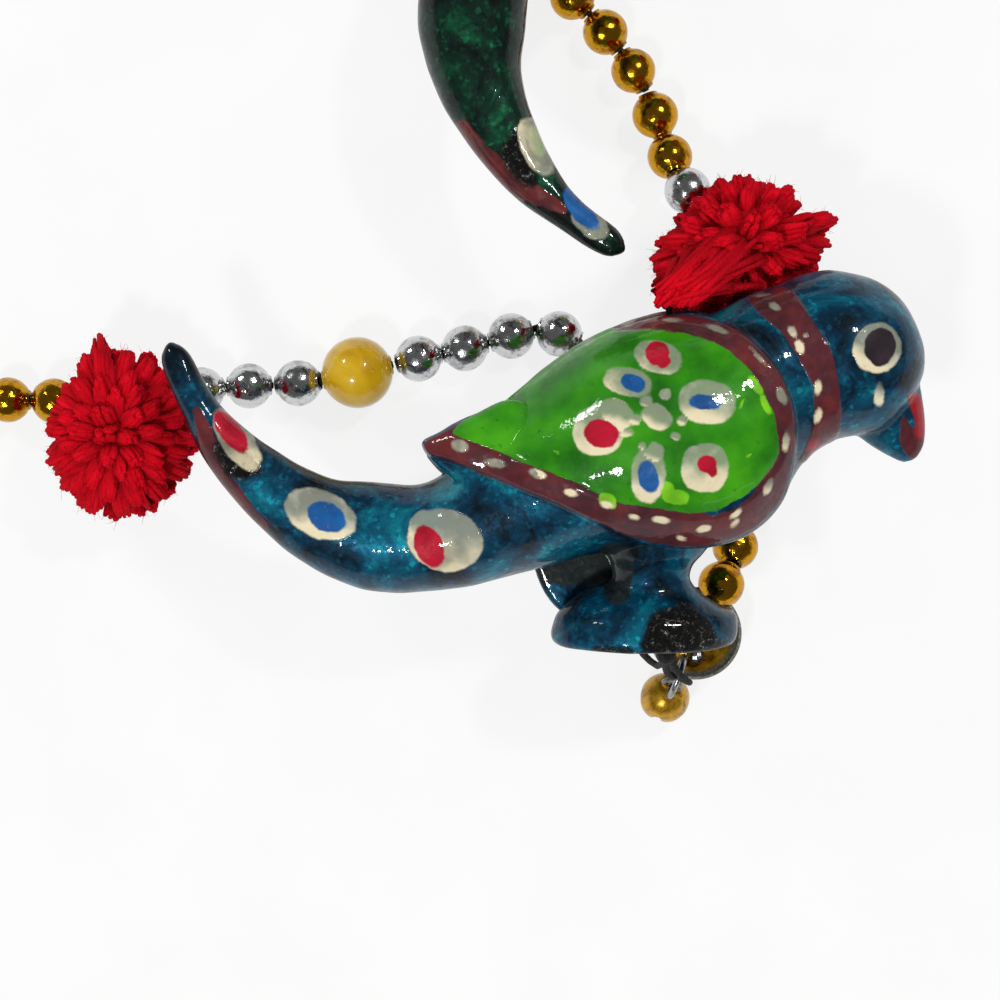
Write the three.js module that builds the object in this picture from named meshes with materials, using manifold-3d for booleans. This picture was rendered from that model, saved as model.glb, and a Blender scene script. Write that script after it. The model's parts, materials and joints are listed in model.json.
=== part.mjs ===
// A beaded bird garland lying on a table: two papier-mache birds, wool pom-poms, plated beads and bells
// on one knotted string. Millimetres, +Z up, the table is z = 0.
import * as THREE from 'three';
import { mergeVertices } from 'three/addons/utils/BufferGeometryUtils.js';
import Module from 'manifold-3d';

const wasm = await Module();
wasm.setup();

// String and beads
const stringRadius = 0.6;
const boreClearance = 0.4;
const boreRadius = stringRadius + boreClearance;
const seatGap = 0.35;
const beadRadius = 4;
const amberRadius = 6.2;
const beadSegments = 10;
const stringSides = 8;
const stringStep = 3;
const jointGap = 0.4;
const knotRadius = 1.7;

// Birds: both come out of one mould. Along (u) runs to the head, up (v) to the back, across (w) to a side
const wingRelief = 0.9;
const bodySides = 16;
const birdClearance = 0.6;
const birdLean = THREE.MathUtils.degToRad(8);
const bird1At = new THREE.Vector2(27.7, 3.3);
const bird2At = new THREE.Vector2(13.5, 125.5);
const bird2Heading = THREE.MathUtils.degToRad(79.3);

// Each body section: its point on the back, its point on the belly and its half width
const bodySections = [
  { back: [-81.8, 23.1], belly: [-82.8, 22.1], wide: 0.8 },
  { back: [-78.9, 21.1], belly: [-83.2, 19.1], wide: 2 },
  { back: [-75.2, 14.7], belly: [-79.5, 9.9], wide: 3.2 },
  { back: [-70.5, 9.2], belly: [-75.9, 2.5], wide: 4.2 },
  { back: [-64.8, 5], belly: [-69.3, -5.9], wide: 5.2 },
  { back: [-57.1, 0.8], belly: [-59.9, -14], wide: 6.6 },
  { back: [-49.2, -0.3], belly: [-48.8, -18.6], wide: 8 },
  { back: [-38.3, 0.2], belly: [-36, -18.2], wide: 10 },
  { back: [-27.7, 11.6], belly: [-24.4, -15.5], wide: 13 },
  { back: [-13.7, 22.3], belly: [-11.2, -12], wide: 17 },
  { back: [-2.5, 26.4], belly: [-0.5, -11.2], wide: 18.6 },
  { back: [6.5, 27.4], belly: [11, -10.1], wide: 17.6 },
  { back: [11.9, 30], belly: [17.7, -4.6], wide: 15.2 },
  { back: [16, 31.7], belly: [21.3, 2.1], wide: 13.2 },
  { back: [21, 33.7], belly: [25.4, 5.9], wide: 12.2 },
  { back: [26.9, 34.5], belly: [30.4, 7.3], wide: 12.3 },
  { back: [33.8, 32.8], belly: [35, 8.3], wide: 11 },
  { back: [38.3, 29.2], belly: [39.1, 12.4], wide: 8.2 },
  { back: [41.1, 23.9], belly: [41.4, 16.8], wide: 4.4 },
  { back: [41.9, 21.1], belly: [41.9, 19.1], wide: 1.5 },
];
// The bird's middle lies so high that its widest side clears the beads that pass under it
const birdHalfWidth = Math.max(...bodySections.map((section) => section.wide));
const birdLift = birdHalfWidth + beadRadius * 2 + birdClearance;
const beakSections = [
  { back: [41.2, 16.5], belly: [29.5, 8.2], wide: 4.4 },
  { back: [42, 12.9], belly: [31.3, 7.2], wide: 4 },
  { back: [42.3, 9.2], belly: [33.6, 5.6], wide: 3.2 },
  { back: [42.2, 6.2], belly: [36, 4.1], wide: 2.3 },
  { back: [41.2, 4], belly: [38, 3.1], wide: 1.2 },
  { back: [40.2, 3.2], belly: [38.9, 2.9], wide: 0.5 },
];
// The wing tips stand out over the root of the tail; out: how far to the side each section lies
const wingTipSections = [
  { back: [-20, 8], belly: [-20, 2], wide: 1.5, out: 8 },
  { back: [-25, 13], belly: [-25, -1], wide: 2.4, out: 8.2 },
  { back: [-32, 11.6], belly: [-32, -0.5], wide: 2.6, out: 7.6 },
  { back: [-37, 8.9], belly: [-37, 2.2], wide: 2.2, out: 6.6 },
  { back: [-40.2, 7.5], belly: [-40.2, 5.4], wide: 1, out: 6 },
];
// How much lower the second wing tip lies than the first
const farTipDrop = 2.3;
// Leg and stand, from the belly down: height, rear end, front end and half width
const legSections = [
  { height: -8, rear: -11.5, front: 7.8, wide: 9 },
  { height: -11.6, rear: -10.6, front: 6.4, wide: 8 },
  { height: -14, rear: -9.4, front: 4.3, wide: 6.4 },
  { height: -16.3, rear: -9, front: 3.8, wide: 5.6 },
  { height: -17.6, rear: -10.4, front: 4.5, wide: 5.8 },
  { height: -18.8, rear: -14, front: 5.6, wide: 6.8 },
  { height: -20.4, rear: -16.4, front: 8.2, wide: 8.2 },
  { height: -21.9, rear: -17.8, front: 10.9, wide: 9.4 },
  { height: -22.8, rear: -18.5, front: 11.6, wide: 9.9 },
  { height: -25.6, rear: -19.3, front: 11.7, wide: 10.4 },
  { height: -27.4, rear: -18.2, front: 10.8, wide: 10 },
];
const standFoot = legSections.at(-1).height;
const backTop = 27.6;
const lobeRadius = 12.6;
const lobeThickness = 2.4;
const lobeAt = [-9.6, -13.5, -7.2];
const wingOutline = [
  [-40.3, 6.1], [-27.7, 14.5], [-14.7, 23.9], [-2.1, 27.4], [8, 26.6], [16, 20.8], [20.6, 11.9],
  [20.4, 2], [13.9, -8.3], [2.1, -11.1], [-10.6, -7.4], [-27.4, -0.3],
];

// Soft pom-poms: the packed wool under the loose ends
const lowerPomRadii = [11.4, 14, 12.2];
const upperPomRadii = [14, 11, 15.5];
const woolGap = 0.35;
const woolHoleRadius = boreRadius + 0.4;
const pomHold = 9.5;

// Bells and wire
const jingleRadius = 4.35;
const jingleWall = 0.5;
const slitWidth = 1;
const bailRadius = 1.5;
const bailWire = 0.45;
const bailHeight = jingleRadius + bailRadius - bailWire;
const pelletRadius = 1.1;
const cupRadius = 8;
const cupDepth = 6.2;
const cupWall = 0.55;
const cupHoleRadius = 1.6;
const cupCrown = new THREE.Vector3(33.7, -23, 2);
const clapperRadius = 1.5;
const clapperWire = 0.45;
const clapperReach = 4;
const clapperRise = 1;
const clapperTurn = THREE.MathUtils.degToRad(-85);
const ringRadius = 3.6;
const ringWire = 0.55;
const ringCentre = new THREE.Vector3(30.2, -30.1, 12.6);
const ringTurn = THREE.MathUtils.degToRad(249.5);
const jingleHang = THREE.MathUtils.degToRad(-60);

// How far along each route the first piece sits, measured from the knot to its near side
const lowerLead = 20;
const upperLead = 2.6;
const topLead = 4;
const hangingLoopRadius = 8;

// The route of the string, chosen by hand: from the foot of bird 1 to its free end
const lowerRoute = [
  [28.6, -26.3, 18.5], [30.5, -24.4, 13], [34.4, -20, 12.2], [37.8, -14, 13.6], [41, -8.8, beadRadius + 2.8],
  [40.5, -1, beadRadius], [34.5, 7, beadRadius], [24.5, 14.5, beadRadius], [16, 25, beadRadius], [10.1, 30.5, beadRadius],
  [1.7, 28.2, beadRadius], [-7, 26.2, beadRadius], [-16.8, 23.9, amberRadius], [-30, 20.8, amberRadius],
  [-38.5, 20, beadRadius + 0.2], [-47, 19.8, beadRadius + 0.4], [-57, 18, 8], [-66, 16.5, 11], [-74.5, 17, 7.6],
  [-81, 17.4, beadRadius + 0.5], [-87, 17.4, beadRadius], [-94, 17.4, beadRadius], [-104, 17.4, beadRadius],
];
const lowerPieces = [
  { name: 'gold_bead_1' }, { name: 'gold_bead_2' },
  { name: 'silver_bead_1' }, { name: 'silver_bead_2' }, { name: 'silver_bead_3' }, { name: 'silver_bead_4' },
  { name: 'silver_bead_5' }, { cut: 'string_2' },
  { name: 'silver_bead_6' }, { name: 'silver_bead_7' }, { name: 'silver_bead_8' }, { name: 'silver_bead_9' },
  { cut: 'string_3' },
  { name: 'amber_bead' }, { name: 'silver_bead_10' }, { cut: 'string_4' },
  { name: 'silver_bead_11' }, { name: 'silver_bead_12' }, { name: 'pompom_1' }, { name: 'gold_bead_3' },
  { cut: 'string_5' },
  { name: 'gold_bead_4' }, { name: 'gold_bead_5' },
];
// From the back of bird 1 to the foot of bird 2
const upperRoute = [
  [29.5, 35.5, 29.5], [35, 40.5, 23.5], [40.6, 45, 17.5], [37.4, 48.8, 15], [31.8, 51.5, 12.5], [29.9, 57.6, 8],
  [28.2, 63.4, beadRadius + 0.6], [25.5, 71, beadRadius], [18, 82, beadRadius], [7, 92.5, beadRadius],
  [-5, 102.5, beadRadius], [-16, 111.5, beadRadius], [-22, 120.5, beadRadius + 1], [-22.8, 128.8, 12],
  [-20, 131.5, 19],
];
const upperPieces = [
  { cut: 'string_6' },
  { name: 'pompom_2', bare: 10 }, { name: 'silver_bead_13' }, { name: 'gold_bead_6' }, { name: 'gold_bead_7' },
  { cut: 'string_7' },
  { name: 'gold_bead_8' }, { name: 'gold_bead_9' }, { name: 'gold_bead_10' }, { name: 'gold_bead_11' },
  { cut: 'string_8' },
  { name: 'gold_bead_12' }, { name: 'gold_bead_13' }, { name: 'gold_bead_14' }, { name: 'gold_bead_15' },
  { cut: 'string_9' },
];
// From the back of bird 2 to the hanging loop
const topRoute = [
  [46.4, 119.4, 27], [52.4, 118.4, 18], [58.4, 117.6, 13], [66.4, 117, 8.5], [74.4, 116.8, beadRadius + 0.6],
  [80.4, 116.6, beadRadius], [88.4, 116.4, beadRadius], [104.4, 116, beadRadius],
];
const topPieces = [
  { name: 'pompom_3', bare: 5 }, { name: 'gold_bead_16' }, { cut: 'string_10' }, { name: 'gold_bead_17' },
  { name: 'gold_bead_18' },
];
// Around the jump ring, and to the cup bell and in through its crown
const ringLoop = [
  [28.4, -29.4, 17], [30.1, -30, 14.7], [32, -30.8, 17.2], [30.6, -29.8, 19.4],
];
const bellTail = [
  [26.8, -28.2, 14.5], [24.4, -26.2, 8.5], [24.6, -24.8, 3], [27.5, -23.8, 1], [31.9, -23.6, 0.8], [33.6, -23, 1.8],
  [33.7, -23, 3.8],
];

const looks = {
  bird_1: { color: 0x00587a, roughness: 0.25, metalness: 0.4 },
  bird_2: { color: 0x0c3a24, roughness: 0.25, metalness: 0.4 },
  gold: { color: 0xd09a20, roughness: 0.15, metalness: 1 },
  silver: { color: 0xd8d8dc, roughness: 0.1, metalness: 1 },
  amber: { color: 0xc8a020, roughness: 0.2, metalness: 0 },
  wool: { color: 0xc00020, roughness: 1, metalness: 0 },
  string: { color: 0x141414, roughness: 0.8, metalness: 0 },
  wire: { color: 0xb8b8b8, roughness: 0.3, metalness: 1 },
};
const looksByName = Object.fromEntries(
  Object.entries(looks).map(([name, values]) => [name, new THREE.MeshStandardMaterial(values)]),
);
const group = new THREE.Group();

// Adds one named piece and returns its mesh
function addPiece(name, geometry, look) {
  const mesh = new THREE.Mesh(geometry, looksByName[look]);
  mesh.name = name;
  group.add(mesh);
  return mesh;
}

// Turns a closed geometry into a solid that can be joined and cut
function toSolid(geometry) {
  const bare = geometry.clone();
  bare.deleteAttribute('normal');
  bare.deleteAttribute('uv');
  const merged = mergeVertices(bare, 1e-4);
  const vertProperties = new Float32Array(merged.attributes.position.array);
  const triVerts = new Uint32Array(merged.index.array);
  return new wasm.Manifold(new wasm.Mesh({ numProp: 3, vertProperties, triVerts }));
}

// Turns a solid back into a geometry
function toGeometry(solid) {
  const mesh = solid.getMesh();
  const geometry = new THREE.BufferGeometry();
  geometry.setAttribute('position', new THREE.BufferAttribute(Float32Array.from(mesh.vertProperties), 3));
  geometry.setIndex(new THREE.BufferAttribute(Uint32Array.from(mesh.triVerts), 1));
  geometry.computeVertexNormals();
  return geometry;
}

function joinAll(geometries) {
  return geometries.map(toSolid).reduce((whole, next) => whole.add(next));
}

// Joins rings of equal point counts into a closed skin with flat ends, facing out
function loft(rings) {
  const count = rings[0].length;
  const points = rings.flat();
  const faces = [];
  for (let ring = 0; ring + 1 < rings.length; ring += 1) {
    for (let side = 0; side < count; side += 1) {
      const a = ring * count + side;
      const b = ring * count + ((side + 1) % count);
      faces.push(a, b, b + count, a, b + count, a + count);
    }
  }
  const last = (rings.length - 1) * count;
  for (let side = 1; side + 1 < count; side += 1) {
    faces.push(0, side + 1, side);
    faces.push(last, last + side, last + side + 1);
  }
  const geometry = new THREE.BufferGeometry().setFromPoints(points);
  if (signedVolume(points, faces) < 0) {
    faces.reverse();
  }
  geometry.setIndex(faces);
  return geometry;
}

function signedVolume(points, faces) {
  let total = 0;
  for (let face = 0; face < faces.length; face += 3) {
    const [a, b, c] = [0, 1, 2].map((corner) => points[faces[face + corner]]);
    total += a.dot(b.clone().cross(c));
  }
  return total / 6;
}

// An oval ring round the line from a belly point to a back point, grown outwards by a relief
function ovalRing({ back, belly, wide }, relief) {
  const top = new THREE.Vector3(back[0], back[1], 0);
  const bottom = new THREE.Vector3(belly[0], belly[1], 0);
  const centre = top.clone().lerp(bottom, 0.5);
  const half = top.clone().sub(centre);
  half.setLength(half.length() + relief);
  const ring = [];
  for (let side = 0; side < bodySides; side += 1) {
    const angle = (side / bodySides) * Math.PI * 2;
    const point = centre.clone().addScaledVector(half, Math.cos(angle));
    point.z = (wide + relief) * Math.sin(angle);
    ring.push(point);
  }
  return ring;
}

// The rings of one wing tip, on the side that the sign gives
function wingTip(sign) {
  const lower = sign < 0 ? farTipDrop : 0;
  return loft(wingTipSections.map((section) => {
    return ovalRing(section, 0).map((point) => {
      return new THREE.Vector3(point.x, point.y - lower, point.z + section.out * sign);
    });
  }));
}

// A level ring of the leg or the stand
function legRing({ height, rear, front, wide }) {
  const ring = [];
  for (let side = 0; side < bodySides; side += 1) {
    const angle = (side / bodySides) * Math.PI * 2;
    const along = (rear + front) / 2 + ((front - rear) / 2) * Math.cos(angle);
    ring.push(new THREE.Vector3(along, height, wide * Math.sin(angle)));
  }
  return ring;
}

// A straight round bar from one point to another
function bar(from, to, radius, sides) {
  const geometry = new THREE.CylinderGeometry(radius, radius, from.distanceTo(to), sides);
  const along = to.clone().sub(from).normalize();
  geometry.applyQuaternion(new THREE.Quaternion().setFromUnitVectors(new THREE.Vector3(0, 1, 0), along));
  const middle = from.clone().lerp(to, 0.5);
  return geometry.translate(middle.x, middle.y, middle.z);
}

// One moulding: body, beak, leg, stand and lobe, with the raised wing panels and the hole for the string
function birdGeometry() {
  const body = loft(bodySections.map((section) => ovalRing(section, 0)));
  const beak = loft(beakSections.map((section) => ovalRing(section, 0)));
  const leg = loft(legSections.map(legRing));
  const lobe = new THREE.CylinderGeometry(lobeRadius, lobeRadius, lobeThickness, bodySides);
  lobe.rotateX(Math.PI / 2).translate(...lobeAt);
  const outline = new THREE.SplineCurve([...wingOutline, wingOutline[0]].map(([u, v]) => new THREE.Vector2(u, v)));
  const reach = birdHalfWidth + wingRelief * 2;
  const slab = new THREE.ExtrudeGeometry(new THREE.Shape(outline.getPoints(wingOutline.length * 3)), {
    depth: reach * 2, bevelEnabled: false, steps: 1,
  }).translate(0, 0, -reach);
  const skin = loft(bodySections.map((section) => ovalRing(section, wingRelief)));
  const wings = toSolid(skin).intersect(toSolid(slab));
  const hole = bar(new THREE.Vector3(0, standFoot - 2, 0), new THREE.Vector3(0, backTop + 4, 0), boreRadius, 12);
  return toGeometry(joinAll([body, beak, leg, lobe, wingTip(1), wingTip(-1)]).add(wings).subtract(toSolid(hole)));
}

// The frame of a bird that lies on its side, its back leaning up, heading along the table
function birdFrame(at, heading, side) {
  const along = new THREE.Vector3(Math.cos(heading), Math.sin(heading), 0);
  const up = new THREE.Vector3(-Math.sin(heading), Math.cos(heading), 0).multiplyScalar(side * Math.cos(birdLean));
  up.z = Math.sin(birdLean);
  const frame = new THREE.Matrix4().makeBasis(along, up, along.clone().cross(up));
  return frame.setPosition(at.x, at.y, birdLift);
}

function pointOn(frame, height) {
  return new THREE.Vector3(0, height, 0).applyMatrix4(frame);
}

// A round tube of string through points, each ring square to the mean of the runs that meet in it
function stringTube(points, radius) {
  const runs = points.slice(1).map((point, index) => point.clone().sub(points[index]).normalize());
  const side = new THREE.Vector3(0, 0, 1);
  if (Math.abs(runs[0].z) > 0.9) {
    side.set(1, 0, 0);
  }
  const rings = points.map((point, index) => {
    const before = runs[Math.max(index - 1, 0)];
    const after = runs[Math.min(index, runs.length - 1)];
    const along = before.clone().add(after).normalize();
    side.addScaledVector(along, -side.dot(along)).normalize();
    const other = along.clone().cross(side);
    return Array.from({ length: stringSides }, (_, corner) => {
      const angle = (corner / stringSides) * Math.PI * 2;
      const out = side.clone().multiplyScalar(Math.cos(angle)).addScaledVector(other, Math.sin(angle));
      return point.clone().addScaledVector(out, radius);
    });
  });
  return loft(rings);
}

// Points on a route every few millimetres between two distances, straight through each bead on the way
function stringPoints(route, from, to, threaded = []) {
  const stops = threaded.filter((piece) => piece.centre && !piece.soft);
  const inside = (distance) => stops.some((bead) => distance > bead.from - 1 && distance < bead.to + 1);
  const distances = [from, to];
  for (let distance = from + stringStep; distance < to - stringStep / 2; distance += stringStep) {
    if (!inside(distance)) {
      distances.push(distance);
    }
  }
  stops.filter((bead) => bead.from > from && bead.to < to).forEach((bead) => distances.push(bead.from, bead.to));
  distances.sort((a, b) => a - b);
  return distances.map((distance) => route.getPointAt(distance / route.getLength()));
}

function knot(at) {
  return new THREE.SphereGeometry(knotRadius, 10, 8).translate(at.x, at.y, at.z);
}

function routeThrough(points) {
  const route = new THREE.CatmullRomCurve3(points.map((point) => new THREE.Vector3(...point)), false, 'centripetal');
  route.arcLengthDivisions = 1200;
  return route;
}

// Threads the pieces on a route in order. Gives each bead's or pom-pom's span and each cut in the string
function threadPieces(route, lead, pieces) {
  const threaded = [];
  let reached = lead;
  let before = null;
  for (const piece of pieces) {
    if (piece.cut) {
      const at = reached + (seatGap + jointGap) / 2;
      threaded.push({ ...piece, at, point: route.getPointAt(at / route.getLength()) });
      reached += jointGap;
      continue;
    }
    const bead = placeOn(route, reached + seatGap + (piece.bare ?? 0), piece.name, before);
    threaded.push({ ...piece, ...bead });
    reached = bead.to;
    before = bead;
  }
  return threaded;
}

// Sets a bead on the route at a distance, pushed on where a bend would bring it onto the one before
function placeOn(route, distance, name, before) {
  const half = spanRadius(name);
  const soft = name.startsWith('pompom');
  let from = distance;
  for (;;) {
    const start = route.getPointAt(from / route.getLength());
    const end = route.getPointAt((from + half * 2) / route.getLength());
    const centre = start.clone().lerp(end, 0.5);
    const clear = !before || centre.distanceTo(before.centre) >= half + before.half + seatGap * 0.9;
    if (clear || soft || before.soft) {
      return { half, soft, centre, from, to: from + half * 2, along: end.sub(start).normalize() };
    }
    from += seatGap / 10;
  }
}

function spanRadius(name) {
  if (name.startsWith('pompom')) {
    return pomHold;
  }
  return name.startsWith('amber') ? amberRadius : beadRadius;
}

// A bored ball with flat ends: the outline runs from the bore over the ball and back down the bore
function addBead(name, centre, along, radius) {
  const first = Math.asin(boreRadius / radius);
  const profile = [];
  for (let step = 0; step <= beadSegments / 2; step += 1) {
    const angle = first + ((Math.PI - 2 * first) * step) / (beadSegments / 2);
    profile.push(new THREE.Vector2(radius * Math.sin(angle), -radius * Math.cos(angle)));
  }
  profile.push(profile[0].clone());
  const bead = addPiece(name, new THREE.LatheGeometry(profile, beadSegments), name.split('_')[0]);
  bead.position.copy(centre);
  bead.quaternion.setFromUnitVectors(new THREE.Vector3(0, 1, 0), along);
}

// A squashed ball of wool with its string's hole, dented where the beads on both sides press into it
function addPompom(name, radii, centre, hole, neighbours) {
  const ball = new THREE.SphereGeometry(1, 14, 10).rotateX(Math.PI / 2).scale(...radii);
  let wool = toSolid(ball.translate(centre.x, centre.y, centre.z));
  wool = wool.subtract(toSolid(stringTube(hole, woolHoleRadius)));
  for (const neighbour of neighbours) {
    const dent = new THREE.SphereGeometry(neighbour.half + woolGap, 10, 8);
    wool = wool.subtract(toSolid(dent.translate(neighbour.centre.x, neighbour.centre.y, neighbour.centre.z)));
  }
  addPiece(name, toGeometry(wool), 'wool');
}

// Adds everything on a route, and the string between its cuts. Gives back the first and the last stretch
function addStrand(route, lead, pieces, pompoms) {
  const threaded = threadPieces(route, lead, pieces);
  threaded.forEach((piece, index) => {
    if (piece.cut) {
      return;
    }
    if (!piece.name.startsWith('pompom')) {
      addBead(piece.name, piece.centre, piece.along, piece.half);
      return;
    }
    const { radii, shift } = pompoms[piece.name];
    const centre = new THREE.Vector3(piece.centre.x + shift[0], piece.centre.y + shift[1], radii[2]);
    const neighbours = [threaded[index - 1], threaded[index + 1]].filter((next) => next && next.centre);
    const middle = piece.from + pomHold;
    const reach = Math.max(...radii) * 1.3;
    const hole = stringPoints(route, Math.max(0, middle - reach), middle + reach, threaded);
    addPompom(piece.name, radii, centre, hole, neighbours);
  });
  const cuts = threaded.filter((piece) => piece.cut);
  const ends = cuts.map((cut) => cut.at);
  cuts.slice(0, -1).forEach((cut, index) => {
    const points = stringPoints(route, ends[index] + jointGap / 2, ends[index + 1] - jointGap / 2, threaded);
    addHinged(cut.cut, stringTube(points, stringRadius), cut.point);
  });
  const last = threaded.filter((piece) => !piece.cut).at(-1);
  const between = (from, to) => stringTube(stringPoints(route, from, to, threaded), stringRadius);
  return { first: cuts[0], last: cuts.at(-1), end: last.to + seatGap, between };
}

// A piece whose own origin is the point that it turns about
function addHinged(name, geometry, pivot) {
  addPiece(name, geometry.translate(-pivot.x, -pivot.y, -pivot.z), 'string').position.copy(pivot);
}

// A wire ring round a point, in the plane of two directions
function wireRing(centre, across, up, radius, wire) {
  const frame = new THREE.Matrix4().makeBasis(across, up, across.clone().cross(up)).setPosition(centre);
  return new THREE.TorusGeometry(radius, wire, 6, 18).applyMatrix4(frame);
}

// A jingle bell: a hollow ball with a crossed slit below and a bail on top, hung from a point
function jingleGeometry() {
  const shell = toSolid(new THREE.SphereGeometry(jingleRadius, 16, 10));
  const hollow = toSolid(new THREE.SphereGeometry(jingleRadius - jingleWall, 16, 10));
  const long = jingleRadius * 1.5;
  const slitDepth = jingleRadius * 0.95;
  const slit = new THREE.BoxGeometry(slitWidth, slitDepth, long).translate(0, -jingleRadius, 0);
  const crossSlit = new THREE.BoxGeometry(long, slitDepth, slitWidth).translate(0, -jingleRadius, 0);
  const bail = new THREE.TorusGeometry(bailRadius, bailWire, 6, 12).translate(0, bailHeight, 0);
  return toGeometry(shell.add(toSolid(bail)).subtract(hollow).subtract(joinAll([slit, crossSlit])));
}

// A thin cup with a hole in its crown, mouth up
function cupGeometry() {
  const profile = [];
  const rim = cupRadius - cupWall;
  const steps = 6;
  const start = Math.asin(cupHoleRadius / cupRadius);
  const innerStart = Math.asin(cupHoleRadius / rim);
  for (let step = 0; step <= steps; step += 1) {
    const angle = start + ((Math.PI / 2 - start) * step) / steps;
    profile.push(new THREE.Vector2(cupRadius * Math.sin(angle), cupDepth * (1 - Math.cos(angle))));
  }
  for (let step = steps; step >= 0; step -= 1) {
    const angle = innerStart + ((Math.PI / 2 - innerStart) * step) / steps;
    const height = cupDepth - (cupDepth - cupWall) * Math.cos(angle);
    profile.push(new THREE.Vector2(rim * Math.sin(angle), height));
  }
  profile.push(profile[0].clone());
  return new THREE.LatheGeometry(profile, 18).rotateX(Math.PI / 2);
}

// A ball on a short wire that lies on the wall of the cup
function clapperGeometry(axisTop) {
  const out = new THREE.Vector3(Math.cos(clapperTurn), Math.sin(clapperTurn), 0);
  const inner = axisTop.clone().addScaledVector(out, knotRadius + seatGap);
  const ballAt = axisTop.clone().addScaledVector(out, clapperReach).setZ(axisTop.z + clapperRise);
  const ball = new THREE.SphereGeometry(clapperRadius, 12, 8).translate(ballAt.x, ballAt.y, ballAt.z);
  return toGeometry(joinAll([bar(inner, ballAt, clapperWire, 8), ball]));
}

const bird = birdGeometry();
const bird1 = birdFrame(bird1At, 0, 1);
const bird2 = birdFrame(bird2At, bird2Heading, -1);
addPiece('bird_1', bird, 'bird_1').applyMatrix4(bird1);
addPiece('bird_2', bird.clone(), 'bird_2').applyMatrix4(bird2);

const knotSeat = knotRadius + seatGap;
const [foot1, back1] = [standFoot - knotSeat, backTop + knotSeat].map((height) => pointOn(bird1, height));
const [foot2, back2] = [standFoot - knotSeat, backTop + knotSeat].map((height) => pointOn(bird2, height));

const lower = routeThrough([foot1.toArray(), ...lowerRoute]);
const upper = routeThrough([back1.toArray(), ...upperRoute, foot2.toArray()]);
const top = routeThrough([back2.toArray(), ...topRoute]);
const pompoms = {
  pompom_1: { radii: lowerPomRadii, shift: [0, -2.5] },
  pompom_2: { radii: upperPomRadii, shift: [0, 0] },
  pompom_3: { radii: lowerPomRadii, shift: [0, 0] },
};
const lowerEnds = addStrand(lower, lowerLead, lowerPieces, pompoms);
const upperEnds = addStrand(upper, upperLead, upperPieces, pompoms);
const topEnds = addStrand(top, topLead, topPieces, pompoms);

// The string of bird 1: both knots, the run between them, the first bead run, the ring loop and the bell's tail
const cupAxisTop = cupCrown.clone().setZ(cupCrown.z + cupWall + knotSeat);
const tail = routeThrough([foot1.toArray(), ...bellTail, cupAxisTop.toArray()]);
const loop = new THREE.CatmullRomCurve3(
  [foot1.toArray(), ...ringLoop].map((point) => new THREE.Vector3(...point)), true, 'centripetal',
);
addPiece('string_1', toGeometry(joinAll([
  knot(foot1),
  knot(back1),
  bar(foot1, back1, stringRadius, stringSides),
  lowerEnds.between(0, lowerEnds.first.at - jointGap / 2),
  upperEnds.between(0, upperEnds.first.at - jointGap / 2),
  new THREE.TubeGeometry(loop, 20, stringRadius, stringSides, true),
  stringTube(stringPoints(tail, 0, tail.getLength()), stringRadius),
  knot(cupAxisTop),
])), 'string');

const freeEnd = lowerEnds.end + knotRadius;
const freeEndAt = lower.getPointAt(freeEnd / lower.getLength());
const freeRun = lowerEnds.between(lowerEnds.last.at + jointGap / 2, freeEnd);
addHinged('string_5', toGeometry(joinAll([freeRun, knot(freeEndAt)])), lowerEnds.last.point);

// The string of bird 2: from the last cut below it, through it and on to the first cut above it
addHinged('string_9', toGeometry(joinAll([
  upperEnds.between(upperEnds.last.at + jointGap / 2, upper.getLength()),
  knot(foot2),
  knot(back2),
  bar(foot2, back2, stringRadius, stringSides),
  topEnds.between(0, topEnds.first.at - jointGap / 2),
])), upperEnds.last.point);

// The hanging loop behind the last knot
const topKnotAt = topEnds.end + knotRadius;
const topKnot = top.getPointAt(topKnotAt / top.getLength());
const loopCentre = topKnot.clone().setX(topKnot.x + hangingLoopRadius);
addHinged('string_10', toGeometry(joinAll([
  topEnds.between(topEnds.first.at + jointGap / 2, topKnotAt),
  knot(topKnot),
  new THREE.TorusGeometry(hangingLoopRadius, stringRadius, stringSides, 24).translate(...loopCentre.toArray()),
])), topEnds.first.point);

// The jump ring on its loop of string, and the jingle bell on the ring
const level = new THREE.Vector3(Math.cos(ringTurn), Math.sin(ringTurn), 0);
const upright = new THREE.Vector3(0, 0, 1);
addPiece('jump_ring', wireRing(ringCentre, level, upright, ringRadius, ringWire), 'wire');
const hang = level.clone().multiplyScalar(Math.cos(jingleHang)).addScaledVector(upright, Math.sin(jingleHang));
const bailPoint = ringCentre.clone().addScaledVector(hang, ringRadius);
const jingleAt = bailPoint.clone().addScaledVector(hang, bailHeight);
const jingleSide = level.clone().cross(upright);
const jingleTurn = new THREE.Matrix4().makeBasis(jingleSide, hang.clone().negate(),
  jingleSide.clone().cross(hang.clone().negate()));
addPiece('jingle_bell', jingleGeometry(), 'gold').applyMatrix4(jingleTurn.setPosition(jingleAt));
const pelletRest = jingleRadius - jingleWall - pelletRadius - seatGap;
const pellet = addPiece('jingle_pellet', new THREE.SphereGeometry(pelletRadius, 10, 8), 'wire');
pellet.position.copy(jingleAt).addScaledVector(upright, -pelletRest);

addPiece('cup_bell', cupGeometry(), 'gold').position.copy(cupCrown);
addPiece('cup_clapper', clapperGeometry(cupAxisTop), 'wire');

// The table is z = 0, and the middle of the whole footprint is the origin
const box = new THREE.Box3().setFromObject(group, true);
const middle = box.getCenter(new THREE.Vector3());
group.position.set(-middle.x, -middle.y, -box.min.z);
group.updateMatrixWorld(true);

export default group;
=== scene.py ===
import json
import math

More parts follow.
